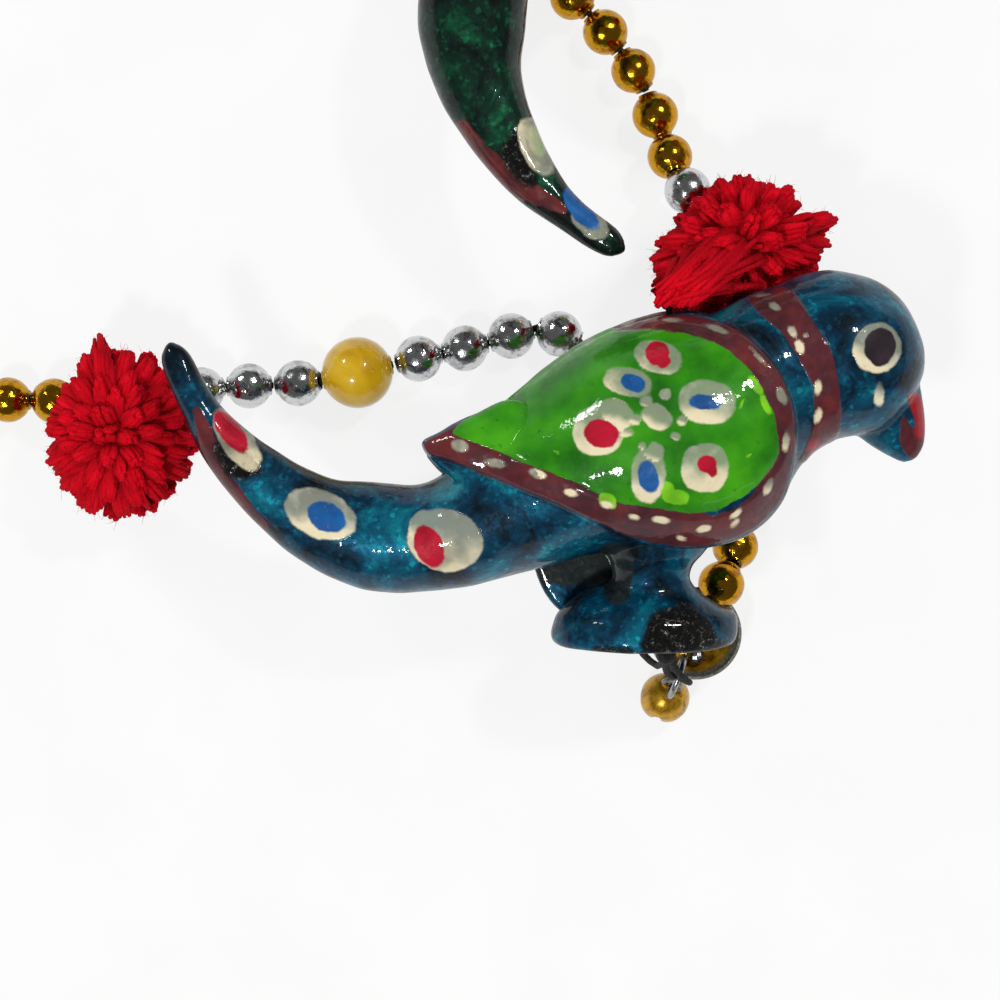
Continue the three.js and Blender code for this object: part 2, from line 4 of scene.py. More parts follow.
import bmesh
import bpy
import numpy as np
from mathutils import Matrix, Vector


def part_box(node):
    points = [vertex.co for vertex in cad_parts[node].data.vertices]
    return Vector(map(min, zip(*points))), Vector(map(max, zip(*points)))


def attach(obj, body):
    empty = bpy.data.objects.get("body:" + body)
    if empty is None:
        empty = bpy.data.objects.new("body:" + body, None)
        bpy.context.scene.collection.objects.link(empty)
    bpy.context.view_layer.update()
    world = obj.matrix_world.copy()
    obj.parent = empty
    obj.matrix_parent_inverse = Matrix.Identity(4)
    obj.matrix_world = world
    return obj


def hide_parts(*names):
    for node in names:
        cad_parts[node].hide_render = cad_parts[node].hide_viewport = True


# A beaded bird garland laid on a pale table: lacquered paper birds, wool pom-poms, plated beads and bells
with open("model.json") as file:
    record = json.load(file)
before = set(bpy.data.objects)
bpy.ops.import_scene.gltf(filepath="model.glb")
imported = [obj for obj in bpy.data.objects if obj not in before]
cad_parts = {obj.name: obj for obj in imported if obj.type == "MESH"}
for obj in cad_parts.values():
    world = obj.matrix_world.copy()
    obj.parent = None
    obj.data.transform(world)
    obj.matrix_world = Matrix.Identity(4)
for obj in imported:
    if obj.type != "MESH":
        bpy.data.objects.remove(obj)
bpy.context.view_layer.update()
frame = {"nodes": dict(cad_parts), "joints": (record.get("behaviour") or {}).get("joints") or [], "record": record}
nodes = frame["nodes"]
record = frame["record"]
mm = 0.001
nodeBody = {name: body for body, members in record["behaviour"]["bodies"].items() for name in members}
print("frame loaded", len(nodes), "nodes")

# Where the middle of the photograph lies in the model's own frame
photoMiddle = np.array([-1.248, -63.602])

# Camera: straight above the middle of the photograph, as far away as the bird's size against its beads says
camera = {
    "centre": tuple(photoMiddle),
    "height": 460.0,
    "beadLevel": 4.0,
    "mmPerPixel": 0.174,
    "pixels": 1000.0,
    "sensor": 36.0,
}


def addCamera():
    # The lens makes one photograph's width of bead level fill the frame: sensor x distance / width
    width = camera["mmPerPixel"] * camera["pixels"]
    data = bpy.data.cameras.new("camera")
    data.sensor_width = camera["sensor"]
    data.lens = camera["sensor"] * (camera["height"] - camera["beadLevel"]) / width
    data.clip_start = 0.01
    data.clip_end = 10
    eye = bpy.data.objects.new("camera", data)
    eye.location = (camera["centre"][0] * mm, camera["centre"][1] * mm, camera["height"] * mm)
    bpy.context.scene.collection.objects.link(eye)
    bpy.context.scene.camera = eye
    bpy.context.scene.view_settings.view_transform = "Standard"


def photoScale(height):
    # Millimetres to a pixel at a height above the table: in proportion to the distance below the camera
    return camera["mmPerPixel"] * (camera["height"] - height) / (camera["height"] - camera["beadLevel"])


def photoPlace(pixels, height):
    # The place at this height that the camera sees at these pixels, y counted downwards
    scale = photoScale(height)
    away = np.asarray(pixels, dtype=float) - camera["pixels"] / 2
    return np.array(camera["centre"]) + away * [scale, -scale]


def photoPixels(points):
    # Where the camera sees points given in millimetres, the other way round
    scale = photoScale(points[:, 2])
    half = camera["pixels"] / 2
    across = half + (points[:, 0] - camera["centre"][0]) / scale
    down = half - (points[:, 1] - camera["centre"][1]) / scale
    return np.stack([across, down], axis=1)


addCamera()


# Mesh helpers
def meshObject(name, points, faces, smooth=True):
    # points in millimetres, faces as an array of three or four corners each, or a list of such arrays
    groups = faces if isinstance(faces, list) else [faces]
    corners = np.concatenate([group.reshape(-1) for group in groups]).astype(np.int32)
    counts = np.concatenate([np.full(len(group), group.shape[1], dtype=np.int32) for group in groups])
    starts = np.concatenate([[0], np.cumsum(counts)[:-1]]).astype(np.int32)
    mesh = bpy.data.meshes.new(name)
    mesh.vertices.add(len(points))
    mesh.vertices.foreach_set("co", (np.asarray(points, dtype=np.float32) * mm).reshape(-1))
    mesh.loops.add(len(corners))
    mesh.loops.foreach_set("vertex_index", corners)
    mesh.polygons.add(len(starts))
    mesh.polygons.foreach_set("loop_start", starts)
    mesh.update(calc_edges=True)
    mesh.validate()
    if smooth:
        mesh.polygons.foreach_set("use_smooth", np.ones(len(mesh.polygons), dtype=bool))
    thing = bpy.data.objects.new(name, mesh)
    bpy.context.scene.collection.objects.link(thing)
    return thing


def setFloat(thing, name, values):
    attribute = thing.data.attributes.new(name, "FLOAT", "POINT")
    attribute.data.foreach_set("value", np.asarray(values, dtype=np.float32))


def gridFaces(rows, columns, closedColumns=True):
    # Quads of a grid of rows by columns, each row closed round on itself unless told not to
    across = columns if closedColumns else columns - 1
    row, column = np.meshgrid(np.arange(rows - 1), np.arange(across), indexing="ij")
    after = (column + 1) % columns
    a = row * columns + column
    b = row * columns + after
    return np.stack([a, b, b + columns, a + columns], axis=-1).reshape(-1, 4)


def capFaces(first, count, flip):
    # A fan over one ring
    step = np.arange(1, count - 1)
    fan = np.stack([np.full_like(step, first), first + step, first + step + 1], axis=1)
    return fan[:, ::-1] if flip else fan


def spline(values, count):
    # A smooth curve through the rows of values, by the cubic through each pair with neighbours' slopes
    values = np.asarray(values, dtype=float)
    padded = np.vstack([2 * values[0] - values[1], values, 2 * values[-1] - values[-2]])
    at = np.linspace(0, len(values) - 1, count)
    index = np.minimum(at.astype(int), len(values) - 2)
    t = (at - index)[:, None]
    p0, p1, p2, p3 = (padded[index + k] for k in range(4))
    return p1 + 0.5 * t * (p2 - p0 + t * (2 * p0 - 5 * p1 + 4 * p2 - p3 + t * (3 * (p1 - p2) + p3 - p0)))


def keepPiece(piece, name, material):
    # The finished piece takes the place of the solid with this name and moves with its body
    piece.data.materials.clear()
    piece.data.materials.append(material)
    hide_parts(name)
    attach(piece, nodeBody[name])


def smoothStep(values, low, high):
    t = np.clip((values - low) / (high - low), 0, 1)
    return t * t * (3 - 2 * t)


def waves(points, length, seed, octaves=3):
    # Soft lumps: sums of sines in random directions, each octave half the length and half the height
    local = np.random.default_rng(seed)
    total = np.zeros(len(points))
    for octave in range(octaves):
        for _ in range(5):
            direction = local.normal(size=3)
            direction *= 2 * math.pi / (length * 0.5**octave * np.linalg.norm(direction))
            total += 0.5**octave * np.sin(points @ direction + local.uniform(0, 6.28))
    return total / 5


# Lacquered paper birds. Local axes in millimetres: u towards the head, v towards the back, w to one side
birdForm = {
    "voxel": 0.42,
    "ringPoints": 64,
    "wingRelief": 0.9,
    "rimHeight": 0.35,
    "collarHeight": 0.25,
    "lumpHeight": 0.16,
    "lumpLength": 11.0,
    "boreRadius": 1.0,
    "lobeAt": (-9.6, -13.5, -7.2),
    "lobeRadius": 12.6,
    "lobeThickness": 2.4,
    "farTipDrop": 2.3,
}
# Each row: back u, back v, belly u, belly v, half width
bodyRings = [
    (-81.8, 23.1, -82.8, 22.1, 0.8), (-78.9, 21.1, -83.2, 19.1, 2), (-75.2, 14.7, -79.5, 9.9, 3.2),
    (-70.5, 9.2, -75.9, 2.5, 4.2), (-64.8, 5, -69.3, -5.9, 5.2), (-57.1, 0.8, -59.9, -14, 6.6),
    (-49.2, -0.3, -48.8, -18.6, 8), (-38.3, 0.2, -36, -18.2, 10), (-27.7, 11.6, -24.4, -15.5, 13),
    (-13.7, 22.3, -11.2, -12, 17), (-2.5, 26.4, -0.5, -11.2, 18.6), (6.5, 27.4, 11, -10.1, 17.6),
    (11.9, 30, 17.7, -4.6, 15.2), (16, 31.7, 21.3, 2.1, 13.2), (21, 33.7, 25.4, 5.9, 12.2),
    (26.9, 34.5, 30.4, 7.3, 12.3), (33.8, 32.8, 35, 8.3, 11), (38.3, 29.2, 39.1, 12.4, 8.2),
    (41.1, 23.9, 41.4, 16.8, 4.4), (41.9, 21.1, 41.9, 19.1, 1.5),
]
beakRings = [
    (41.2, 16.5, 29.5, 8.2, 4.4), (42, 12.9, 31.3, 7.2, 4), (42.3, 9.2, 33.6, 5.6, 3.2),
    (42.2, 6.2, 36, 4.1, 2.3), (41.2, 4, 38, 3.1, 1.2), (40.2, 3.2, 38.9, 2.9, 0.5),
]
# The wing tips; each row as above, and how far out to the side it lies
wingTipRings = [
    (-20, 8, -20, 2, 1.5, 8), (-25, 13.4, -25, -1, 2.4, 8.2), (-32, 10.8, -32, -0.5, 2.6, 7.6),
    (-37, 8.5, -37, 2.2, 2.2, 6.6), (-39.4, 7.5, -39.4, 4.6, 1.5, 6.1),
    (-40.2, 7.1, -40.2, 5.6, 0.8, 6),
]
# The far wing tip lies lower than the near one
farDrop = birdForm["farTipDrop"]
farTipRings = [(au, av - farDrop, bu, bv - farDrop, *rest) for au, av, bu, bv, *rest in wingTipRings]
# Each row: height, rear, front, half width
legRings = [
    (-8, -11.5, 7.8, 9), (-11.6, -10.6, 6.4, 8), (-14, -9.4, 4.3, 6.4), (-16.3, -9, 3.8, 5.6),
    (-17.6, -10.4, 4.5, 5.8), (-18.8, -14, 5.6, 6.8), (-20.4, -16.4, 8.2, 8.2),
    (-21.9, -17.8, 10.9, 9.4), (-22.8, -18.5, 11.6, 9.9), (-25.6, -19.3, 11.7, 10.4),
    (-27, -18.9, 11.3, 10.2), (-27.4, -18.2, 10.8, 10),
]
birdPlace = {
    "bird_1": {"at": (*(photoMiddle + [27.7, 3.3]), 27.2), "heading": 0.0, "side": 1},
    "bird_2": {"at": (*(photoMiddle + [13.5, 125.5]), 27.2), "heading": 79.3, "side": -1},
}
birdLean = math.radians(8)


def birdAxes(name):
    # Columns are the directions of u, v and w in the row frame
    place = birdPlace[name]
    heading = math.radians(place["heading"])
    along = np.array([math.cos(heading), math.sin(heading), 0])
    up = place["side"] * math.cos(birdLean) * np.array([-math.sin(heading), math.cos(heading), 0])
    up[2] = math.sin(birdLean)
    return np.stack([along, up, np.cross(along, up)], axis=1)


def placeBird(local, name):
    return local @ birdAxes(name).T + np.array(birdPlace[name]["at"])


def loftMesh(name, rings):
    # rings: (rows, points, 3), closed at both ends by a fan
    rows, count = rings.shape[:2]
    ends = [capFaces(0, count, True), capFaces((rows - 1) * count, count, False)]
    return meshObject(name, rings.reshape(-1, 3), [gridFaces(rows, count)] + ends)


def ovalLoft(name, table, rows, sign=0):
    # Each ring is an oval: middle + cos x half of back to belly, and sin x half width across
    # sign moves it to a side
    values = spline(table, rows)
    angle = np.linspace(0, 2 * math.pi, birdForm["ringPoints"], endpoint=False)
    middle = (values[:, 0:2] + values[:, 2:4]) / 2
    half = (values[:, 0:2] - values[:, 2:4]) / 2
    rings = np.zeros((rows, len(angle), 3))
    rings[:, :, 0:2] = middle[:, None, :] + half[:, None, :] * np.cos(angle)[None, :, None]
    rings[:, :, 2] = np.maximum(values[:, 4], 0.2)[:, None] * np.sin(angle)[None, :]
    if sign:
        rings[:, :, 2] += values[:, 5:6] * sign
    return loftMesh(name, rings)


def legLoft(name, table, rows):
    # Level ovals: cos between rear and front, sin across
    values = spline(table, rows)
    angle = np.linspace(0, 2 * math.pi, birdForm["ringPoints"], endpoint=False)
    rings = np.zeros((rows, len(angle), 3))
    rings[:, :, 0] = (values[:, 1] + values[:, 2])[:, None] / 2
    rings[:, :, 0] += (values[:, 2] - values[:, 1])[:, None] / 2 * np.cos(angle)[None, :]
    rings[:, :, 1] = values[:, 0][:, None]
    rings[:, :, 2] = values[:, 3][:, None] * np.sin(angle)[None, :]
    return loftMesh(name, rings)


def disc(name, centre, radius, thickness, rounding):
    # A flat lobe with a rounded rim
    turn = np.linspace(-math.pi / 2, math.pi / 2, 9)
    angle = np.linspace(0, 2 * math.pi, birdForm["ringPoints"], endpoint=False)
    radii = np.concatenate([[0.3], radius - rounding + rounding * np.cos(turn), [0.3]])
    levels = np.concatenate([[-thickness / 2], thickness / 2 * np.sin(turn), [thickness / 2]])
    rings = np.zeros((len(radii), len(angle), 3))
    rings[:, :, 0] = centre[0] + radii[:, None] * np.cos(angle)
    rings[:, :, 1] = centre[1] + radii[:, None] * np.sin(angle)
    rings[:, :, 2] = centre[2] + levels[:, None]
    return loftMesh(name, rings)


def joinObjects(things, name):
    bpy.ops.object.select_all(action="DESELECT")
    for thing in things:
        thing.select_set(True)
    bpy.context.view_layer.objects.active = things[0]
    bpy.ops.object.join()
    things[0].name = name
    return things[0]


def applyModifiers(thing):
    # The evaluated mesh takes the place of the plain one
    depsgraph = bpy.context.evaluated_depsgraph_get()
    mesh = bpy.data.meshes.new_from_object(thing.evaluated_get(depsgraph))
    old = thing.data
    thing.modifiers.clear()
    thing.data = mesh
    bpy.data.meshes.remove(old)


def readPoints(mesh):
    points = np.empty(len(mesh.vertices) * 3)
    mesh.vertices.foreach_get("co", points)
    return points.reshape(-1, 3) / mm


def readNormals(mesh):
    normals = np.empty(len(mesh.vertices) * 3)
    mesh.vertices.foreach_get("normal", normals)
    return normals.reshape(-1, 3)


def writePoints(mesh, points):
    mesh.vertices.foreach_set("co", (np.asarray(points) * mm).reshape(-1).astype(np.float32))
    mesh.update()


def birdBlank():
    # One moulding: body, beak, leg, stand and lobe run into each other; the bore for the string is cut when each bird
    # is finished
    parts = [
        ovalLoft("blank", bodyRings, 150),
        ovalLoft("beakPart", beakRings, 30),
        ovalLoft("tipPart", wingTipRings, 30, 1),
        ovalLoft("otherTipPart", farTipRings, 30, -1),
        legLoft("legPart", legRings, 72),
        disc("lobePart", birdForm["lobeAt"], birdForm["lobeRadius"], birdForm["lobeThickness"], 0.9),
    ]
    blank = joinObjects(parts, "blank")
    remesh = blank.modifiers.new("skin", "REMESH")
    remesh.mode = "VOXEL"
    remesh.voxel_size = birdForm["voxel"] * mm
    smooth = blank.modifiers.new("soften", "SMOOTH")
    smooth.factor = 0.5
    smooth.iterations = 10
    applyModifiers(blank)
    return blank


# Painted pattern, as places in the photograph's pixels; the hidden side is its mirror image
paintPlan = {
    "reach": 14.0,
    "panel": [
        (453, 432), (468, 417), (502, 391), (543, 356), (580, 336), (617, 331), (668, 331),
        (706, 339), (739, 359), (762, 390), (776, 423), (778, 453), (765, 476), (742, 497),
        (709, 512), (668, 510), (619, 502), (579, 484), (535, 467), (497, 451), (464, 438),
    ],
    "border": [
        (424, 443), (446, 431), (502, 396), (543, 361), (579, 335), (617, 322), (655, 314),
        (706, 318), (739, 331), (765, 354), (783, 379), (793, 408), (795, 443), (790, 474),
        (778, 504), (752, 530), (719, 543), (681, 547), (642, 540), (604, 525), (553, 502),
        (502, 482), (451, 461), (433, 456),
    ],
    "collar": [
        (750, 300), (768, 292), (790, 290), (814, 322), (831, 352), (839, 387), (841, 420),
        (836, 440), (820, 462), (800, 462), (806, 448), (813, 428), (814, 403), (810, 379),
        (796, 354), (782, 333), (760, 314),
    ],
    "throat": [(806, 440), (820, 436), (822, 448), (812, 456), (804, 452)],
    "beak": [(908, 394), (919, 394), (932, 415), (932, 434), (916, 437), (914, 420), (909, 406)],
    "beakMiddle": [(903, 416), (914, 428), (932, 430), (932, 452), (922, 462), (908, 456), (900, 440)],
    "sliver": [(703, 505), (725, 499), (752, 483), (756, 490), (738, 507), (712, 516)],
    "tailEdge": [
        (193, 412), (202, 410), (216, 440), (232, 474), (250, 502), (268, 524), (258, 534),
        (226, 500), (204, 460),
    ],
    "wornEdge": [(212, 446), (232, 444), (262, 470), (244, 480), (226, 474)],
    "wornStand": [
        (644, 652), (648, 624), (664, 609), (688, 606), (708, 618), (716, 642), (690, 656),
    ],
    "wornBase": [
        (598, 647), (640, 651), (690, 649), (722, 640), (728, 648), (690, 658), (640, 661),
        (596, 656),
    ],
    # A patch on the leg painted slate grey as a reflection; the lobe behind the leg gets the same grey as painted
    # shade
    "slateShadeReflection": [(600, 548), (622, 545), (634, 560), (632, 582), (628, 600), (610, 602), (600, 580)],
}
# Each dab: x, y, width, height, turn in degrees
tailWhite = [
    (237, 440, 32, 72, -34), (320, 514, 74, 48, 22), (445, 540, 76, 62, 14), (428, 530, 40, 40, 0),
]
tailRed = [(231, 432, 22, 50, -38), (429, 546, 28, 44, -22)]
tailBlue = [(327, 517, 42, 28, 28)]
flowerWhite = [
    (658, 357, 48, 32, 18), (628, 382, 48, 28, 13), (598, 431, 50, 50, 0), (614, 416, 38, 34, 30),
    (707, 402, 57, 44, 8), (648, 475, 34, 54, 3), (654, 455, 18, 26, 20), (705, 468, 47, 49, 0),
    (657, 417, 31, 24, 38), (665, 394, 11, 11, 0), (646, 401, 13, 11, 0), (682, 420, 8, 9, 0),
    (675, 436, 10, 8, 30), (635, 420, 10, 11, 0), (627, 433, 13, 9, 0), (642, 446, 9, 9, 0),
    (806, 335, 5, 5, 0), (879, 395, 10, 20, 4),
]
flowerRed = [
    (657, 353, 24, 24, 20), (664, 362, 12, 14, 40), (601, 434, 35, 27, 15), (707, 464, 19, 18, 0),
    (712, 471, 10, 14, -30),
]
flowerBlue = [(633, 383, 26, 17, 20), (705, 402, 32, 15, 6), (648, 477, 20, 31, -15)]
whiteDashes = [
    (460, 446, 18, 12, 20), (496, 463, 21, 9, 10), (538, 474, 18, 9, 20), (571, 493, 15, 8, 12),
    (606, 505, 13, 6, 16), (634, 517, 10, 5, 10), (661, 520, 16, 7, 12), (681, 538, 8, 4, 20),
    (704, 529, 14, 7, -15), (736, 514, 13, 6, -45), (735, 523, 11, 6, -48), (768, 487, 17, 7, 112),
    (786, 441, 19, 7, 95), (782, 396, 17, 8, 68), (759, 357, 22, 5, 50), (718, 329, 20, 6, 22),
    (672, 320, 18, 4, 0), (628, 325, 14, 5, -12), (588, 342, 14, 5, -30), (552, 362, 13, 4, -38),
    (516, 392, 13, 4, -36), (759, 295, 13, 3, -5), (775, 307, 12, 7, 35), (792, 331, 12, 8, 60),
    (800, 348, 14, 8, 70), (818, 388, 15, 8, 100), (818, 416, 17, 8, 105),
]
limeDabs = [
    (756, 386, 8, 20, -38), (765, 403, 6, 20, -24), (742, 403, 3, 9, 20), (607, 500, 18, 13, 10),
    (612, 505, 8, 8, 0), (676, 497, 27, 15, 5), (668, 490, 14, 16, 0), (750, 455, 6, 3, -30),
    (556, 452, 6, 3, 20),
]
eye = {"ring": [(877, 348, 48, 51, 4)], "pupil": [(880, 346, 32, 36, 8), (880, 354, 22, 26, 0)]}
otherTail = {
    "white": [(537, 146, 32, 60, -22), (590, 222, 44, 26, 46)],
    "green": [(537, 142, 13, 32, -22)],
    "blue": [(580, 209, 50, 20, 50)],
}


def outlineDistance(points, outline):
    # Distance to a smooth closed outline in pixels, below zero inside it
    corners = np.array(outline, dtype=float)
    ring = spline(np.vstack([corners[-2:], corners, corners[:2]]), len(corners) * 8 + 25)
    reach = paintPlan["reach"]
    low, high = ring.min(axis=0) - reach, ring.max(axis=0) + reach
    near = np.all((points > low) & (points < high), axis=1)
    distance = np.full(len(points), reach)
    if not near.any():
        return distance
    p = points[near]
    closed = spline(np.vstack([corners[-1:], corners, corners[:2]]), (len(corners) + 2) * 8 + 1)[8:-8]
    a, b = closed, np.roll(closed, -1, axis=0)
    edge = b - a
    away = p[:, None, :] - a[None]
    t = np.clip((away * edge).sum(axis=2) / ((edge * edge).sum(axis=1) + 1e-9), 0, 1)
    gap = away - t[:, :, None] * edge
    nearest = np.sqrt((gap * gap).sum(axis=2).min(axis=1))
    crosses = (a[None, :, 1] > p[:, 1:2]) != (b[None, :, 1] > p[:, 1:2])
    level = a[None, :, 0] + (p[:, 1:2] - a[None, :, 1]) * edge[None, :, 0] / (edge[None, :, 1] + 1e-9)
    inside = (crosses & (p[:, 0:1] < level)).sum(axis=1) % 2 == 1
    distance[near] = np.clip(np.where(inside, -nearest, nearest), -reach, reach)
    return distance


def dabDistance(points, dabs, power=2.3):
    # Distance to the nearest of many ovals, near enough: (oval norm - 1) x smaller radius
    reach = paintPlan["reach"]
    distance = np.full(len(points), reach)
    for x, y, width, height, turn in dabs:
        c, s = math.cos(math.radians(turn)), math.sin(math.radians(turn))
        away = points - np.array([x, y])
        across = np.abs(away @ np.array([c, s])) / (width / 2)
        down = np.abs(away @ np.array([-s, c])) / (height / 2)
        norm = (across**power + down**power) ** (1 / power)
        distance = np.minimum(distance, (norm - 1) * min(width, height) / 2)
    return np.clip(distance, -reach, reach)


def dabHeight(points, dabs):
    # How far down its nearest dab each point lies, from -1 at the top to 1 at the bottom
    best = np.full(len(points), 1e9)
    height = np.zeros(len(points))
    for x, y, width, tall, turn in dabs:
        away = (points - np.array([x, y])) / (max(width, tall) / 2)
        gap = (away * away).sum(axis=1)
        nearer = gap < best
        best = np.where(nearer, gap, best)
        height = np.where(nearer, away[:, 1] - 0.35 * away[:, 0], height)
    return np.clip(height, -1, 1)


# Material helpers
def colour(red, green, blue):
    # A screen colour of 0 to 255 as the linear colour that Blender works in
    values = np.array([red, green, blue]) / 255
    linear = np.where(values <= 0.04045, values / 12.92, ((values + 0.055) / 1.055) ** 2.4)
    return (*[float(value) for value in linear], 1.0)


def newMaterial(name, **settings):
    material = bpy.data.materials.new(name)
    material.use_nodes = True
    tree = material.node_tree
    shader = tree.nodes["Principled BSDF"]
    for key, value in settings.items():
        shader.inputs[key.replace("_", " ")].default_value = value
    return material, tree, shader


def addNode(tree, kind, inputs=None, **settings):
    node = tree.nodes.new(kind)
    for key, value in settings.items():
        setattr(node, key, value)
    for key, value in (inputs or {}).items():
        if isinstance(value, bpy.types.NodeSocket):
            tree.links.new(value, node.inputs[key])
        else:
            node.inputs[key].default_value = value
    return node


def objectPlace(tree):
    return addNode(tree, "ShaderNodeTexCoord").outputs["Object"]


def noise(tree, place, scale, detail=3, roughness=0.5, distortion=0.0):
    inputs = {"Vector": place, "Scale": scale, "Detail": detail, "Roughness": roughness, "Distortion": distortion}
    return addNode(tree, "ShaderNodeTexNoise", inputs).outputs["Fac"]


def cells(tree, place, scale, output="Distance", feature="F1"):
    return addNode(tree, "ShaderNodeTexVoronoi", {"Vector": place, "Scale": scale}, feature=feature).outputs[output]


def maths(tree, operation, first, second=0.0, clamp=False):
    return addNode(tree, "ShaderNodeMath", {0: first, 1: second}, operation=operation, use_clamp=clamp).outputs[0]


def times(tree, first, second):
    return maths(tree, "MULTIPLY", first, second)


def between(tree, value, low, high, toLow=0.0, toHigh=1.0):
    # Runs smoothly from toLow to toHigh while the value runs from low to high
    inputs = {"Value": value, "From Min": low, "From Max": high, "To Min": toLow, "To Max": toHigh}
    return addNode(tree, "ShaderNodeMapRange", inputs, interpolation_type="SMOOTHSTEP").outputs["Result"]


def mix(tree, factor, first, second, blend="MIX"):
    node = addNode(tree, "ShaderNodeMix", {"Factor": factor}, data_type="RGBA", blend_type=blend)
    for socket, value in (("A_Color", first), ("B_Color", second)):
        target = next(item for item in node.inputs if item.identifier == socket)
        if isinstance(value, bpy.types.NodeSocket):
            tree.links.new(value, target)
        else:
            target.default_value = value
    return next(item for item in node.outputs if item.identifier == "Result_Color")


def tint(tree, tone, other, value, low, high, start=0.0, end=1.0):
    # tone turns to the other while the value runs from low to high
    return mix(tree, between(tree, value, low, high, start, end), tone, other)


def ramp(tree, value, stops):
    # stops: a place each, then a colour or its red, green and blue
    node = addNode(tree, "ShaderNodeValToRGB", {"Fac": value})
    elements = node.color_ramp.elements
    while len(elements) < len(stops):
        elements.new(0.5)
    for element, (place, *tone) in zip(elements, stops):
        element.position = place
        element.color = tone[0] if len(tone) == 1 else colour(*tone)
    return node.outputs["Color"]


def bump(tree, height, distance, strength=1.0, under=None):
    inputs = {"Height": height, "Distance": distance, "Strength": strength}
    if under is not None:
        inputs["Normal"] = under
    return addNode(tree, "ShaderNodeBump", inputs).outputs["Normal"]


def attribute(tree, name):
    return addNode(tree, "ShaderNodeAttribute", attribute_name=name).outputs["Fac"]


# Lacquer: mottled metallic ground, paint over it, a thick clear coat over all
lacquerLook = {
    "mottle": 105.0,
    "fleck": 1500.0,
    "edgeRagged": 2.6,
    "edgeSoft": 1.3,
    "paintThickness": 0.00016,
    "coatRoughness": 0.035,
}


def paintMask(tree, name, ragged, soft=1.0):
    # 1 inside the painted outline, with an uneven brush edge
    distance = maths(tree, "ADD", attribute(tree, name), ragged)
    edge = lacquerLook["edgeSoft"] * soft
    return between(tree, distance, -edge, edge, 1.0, 0.0)


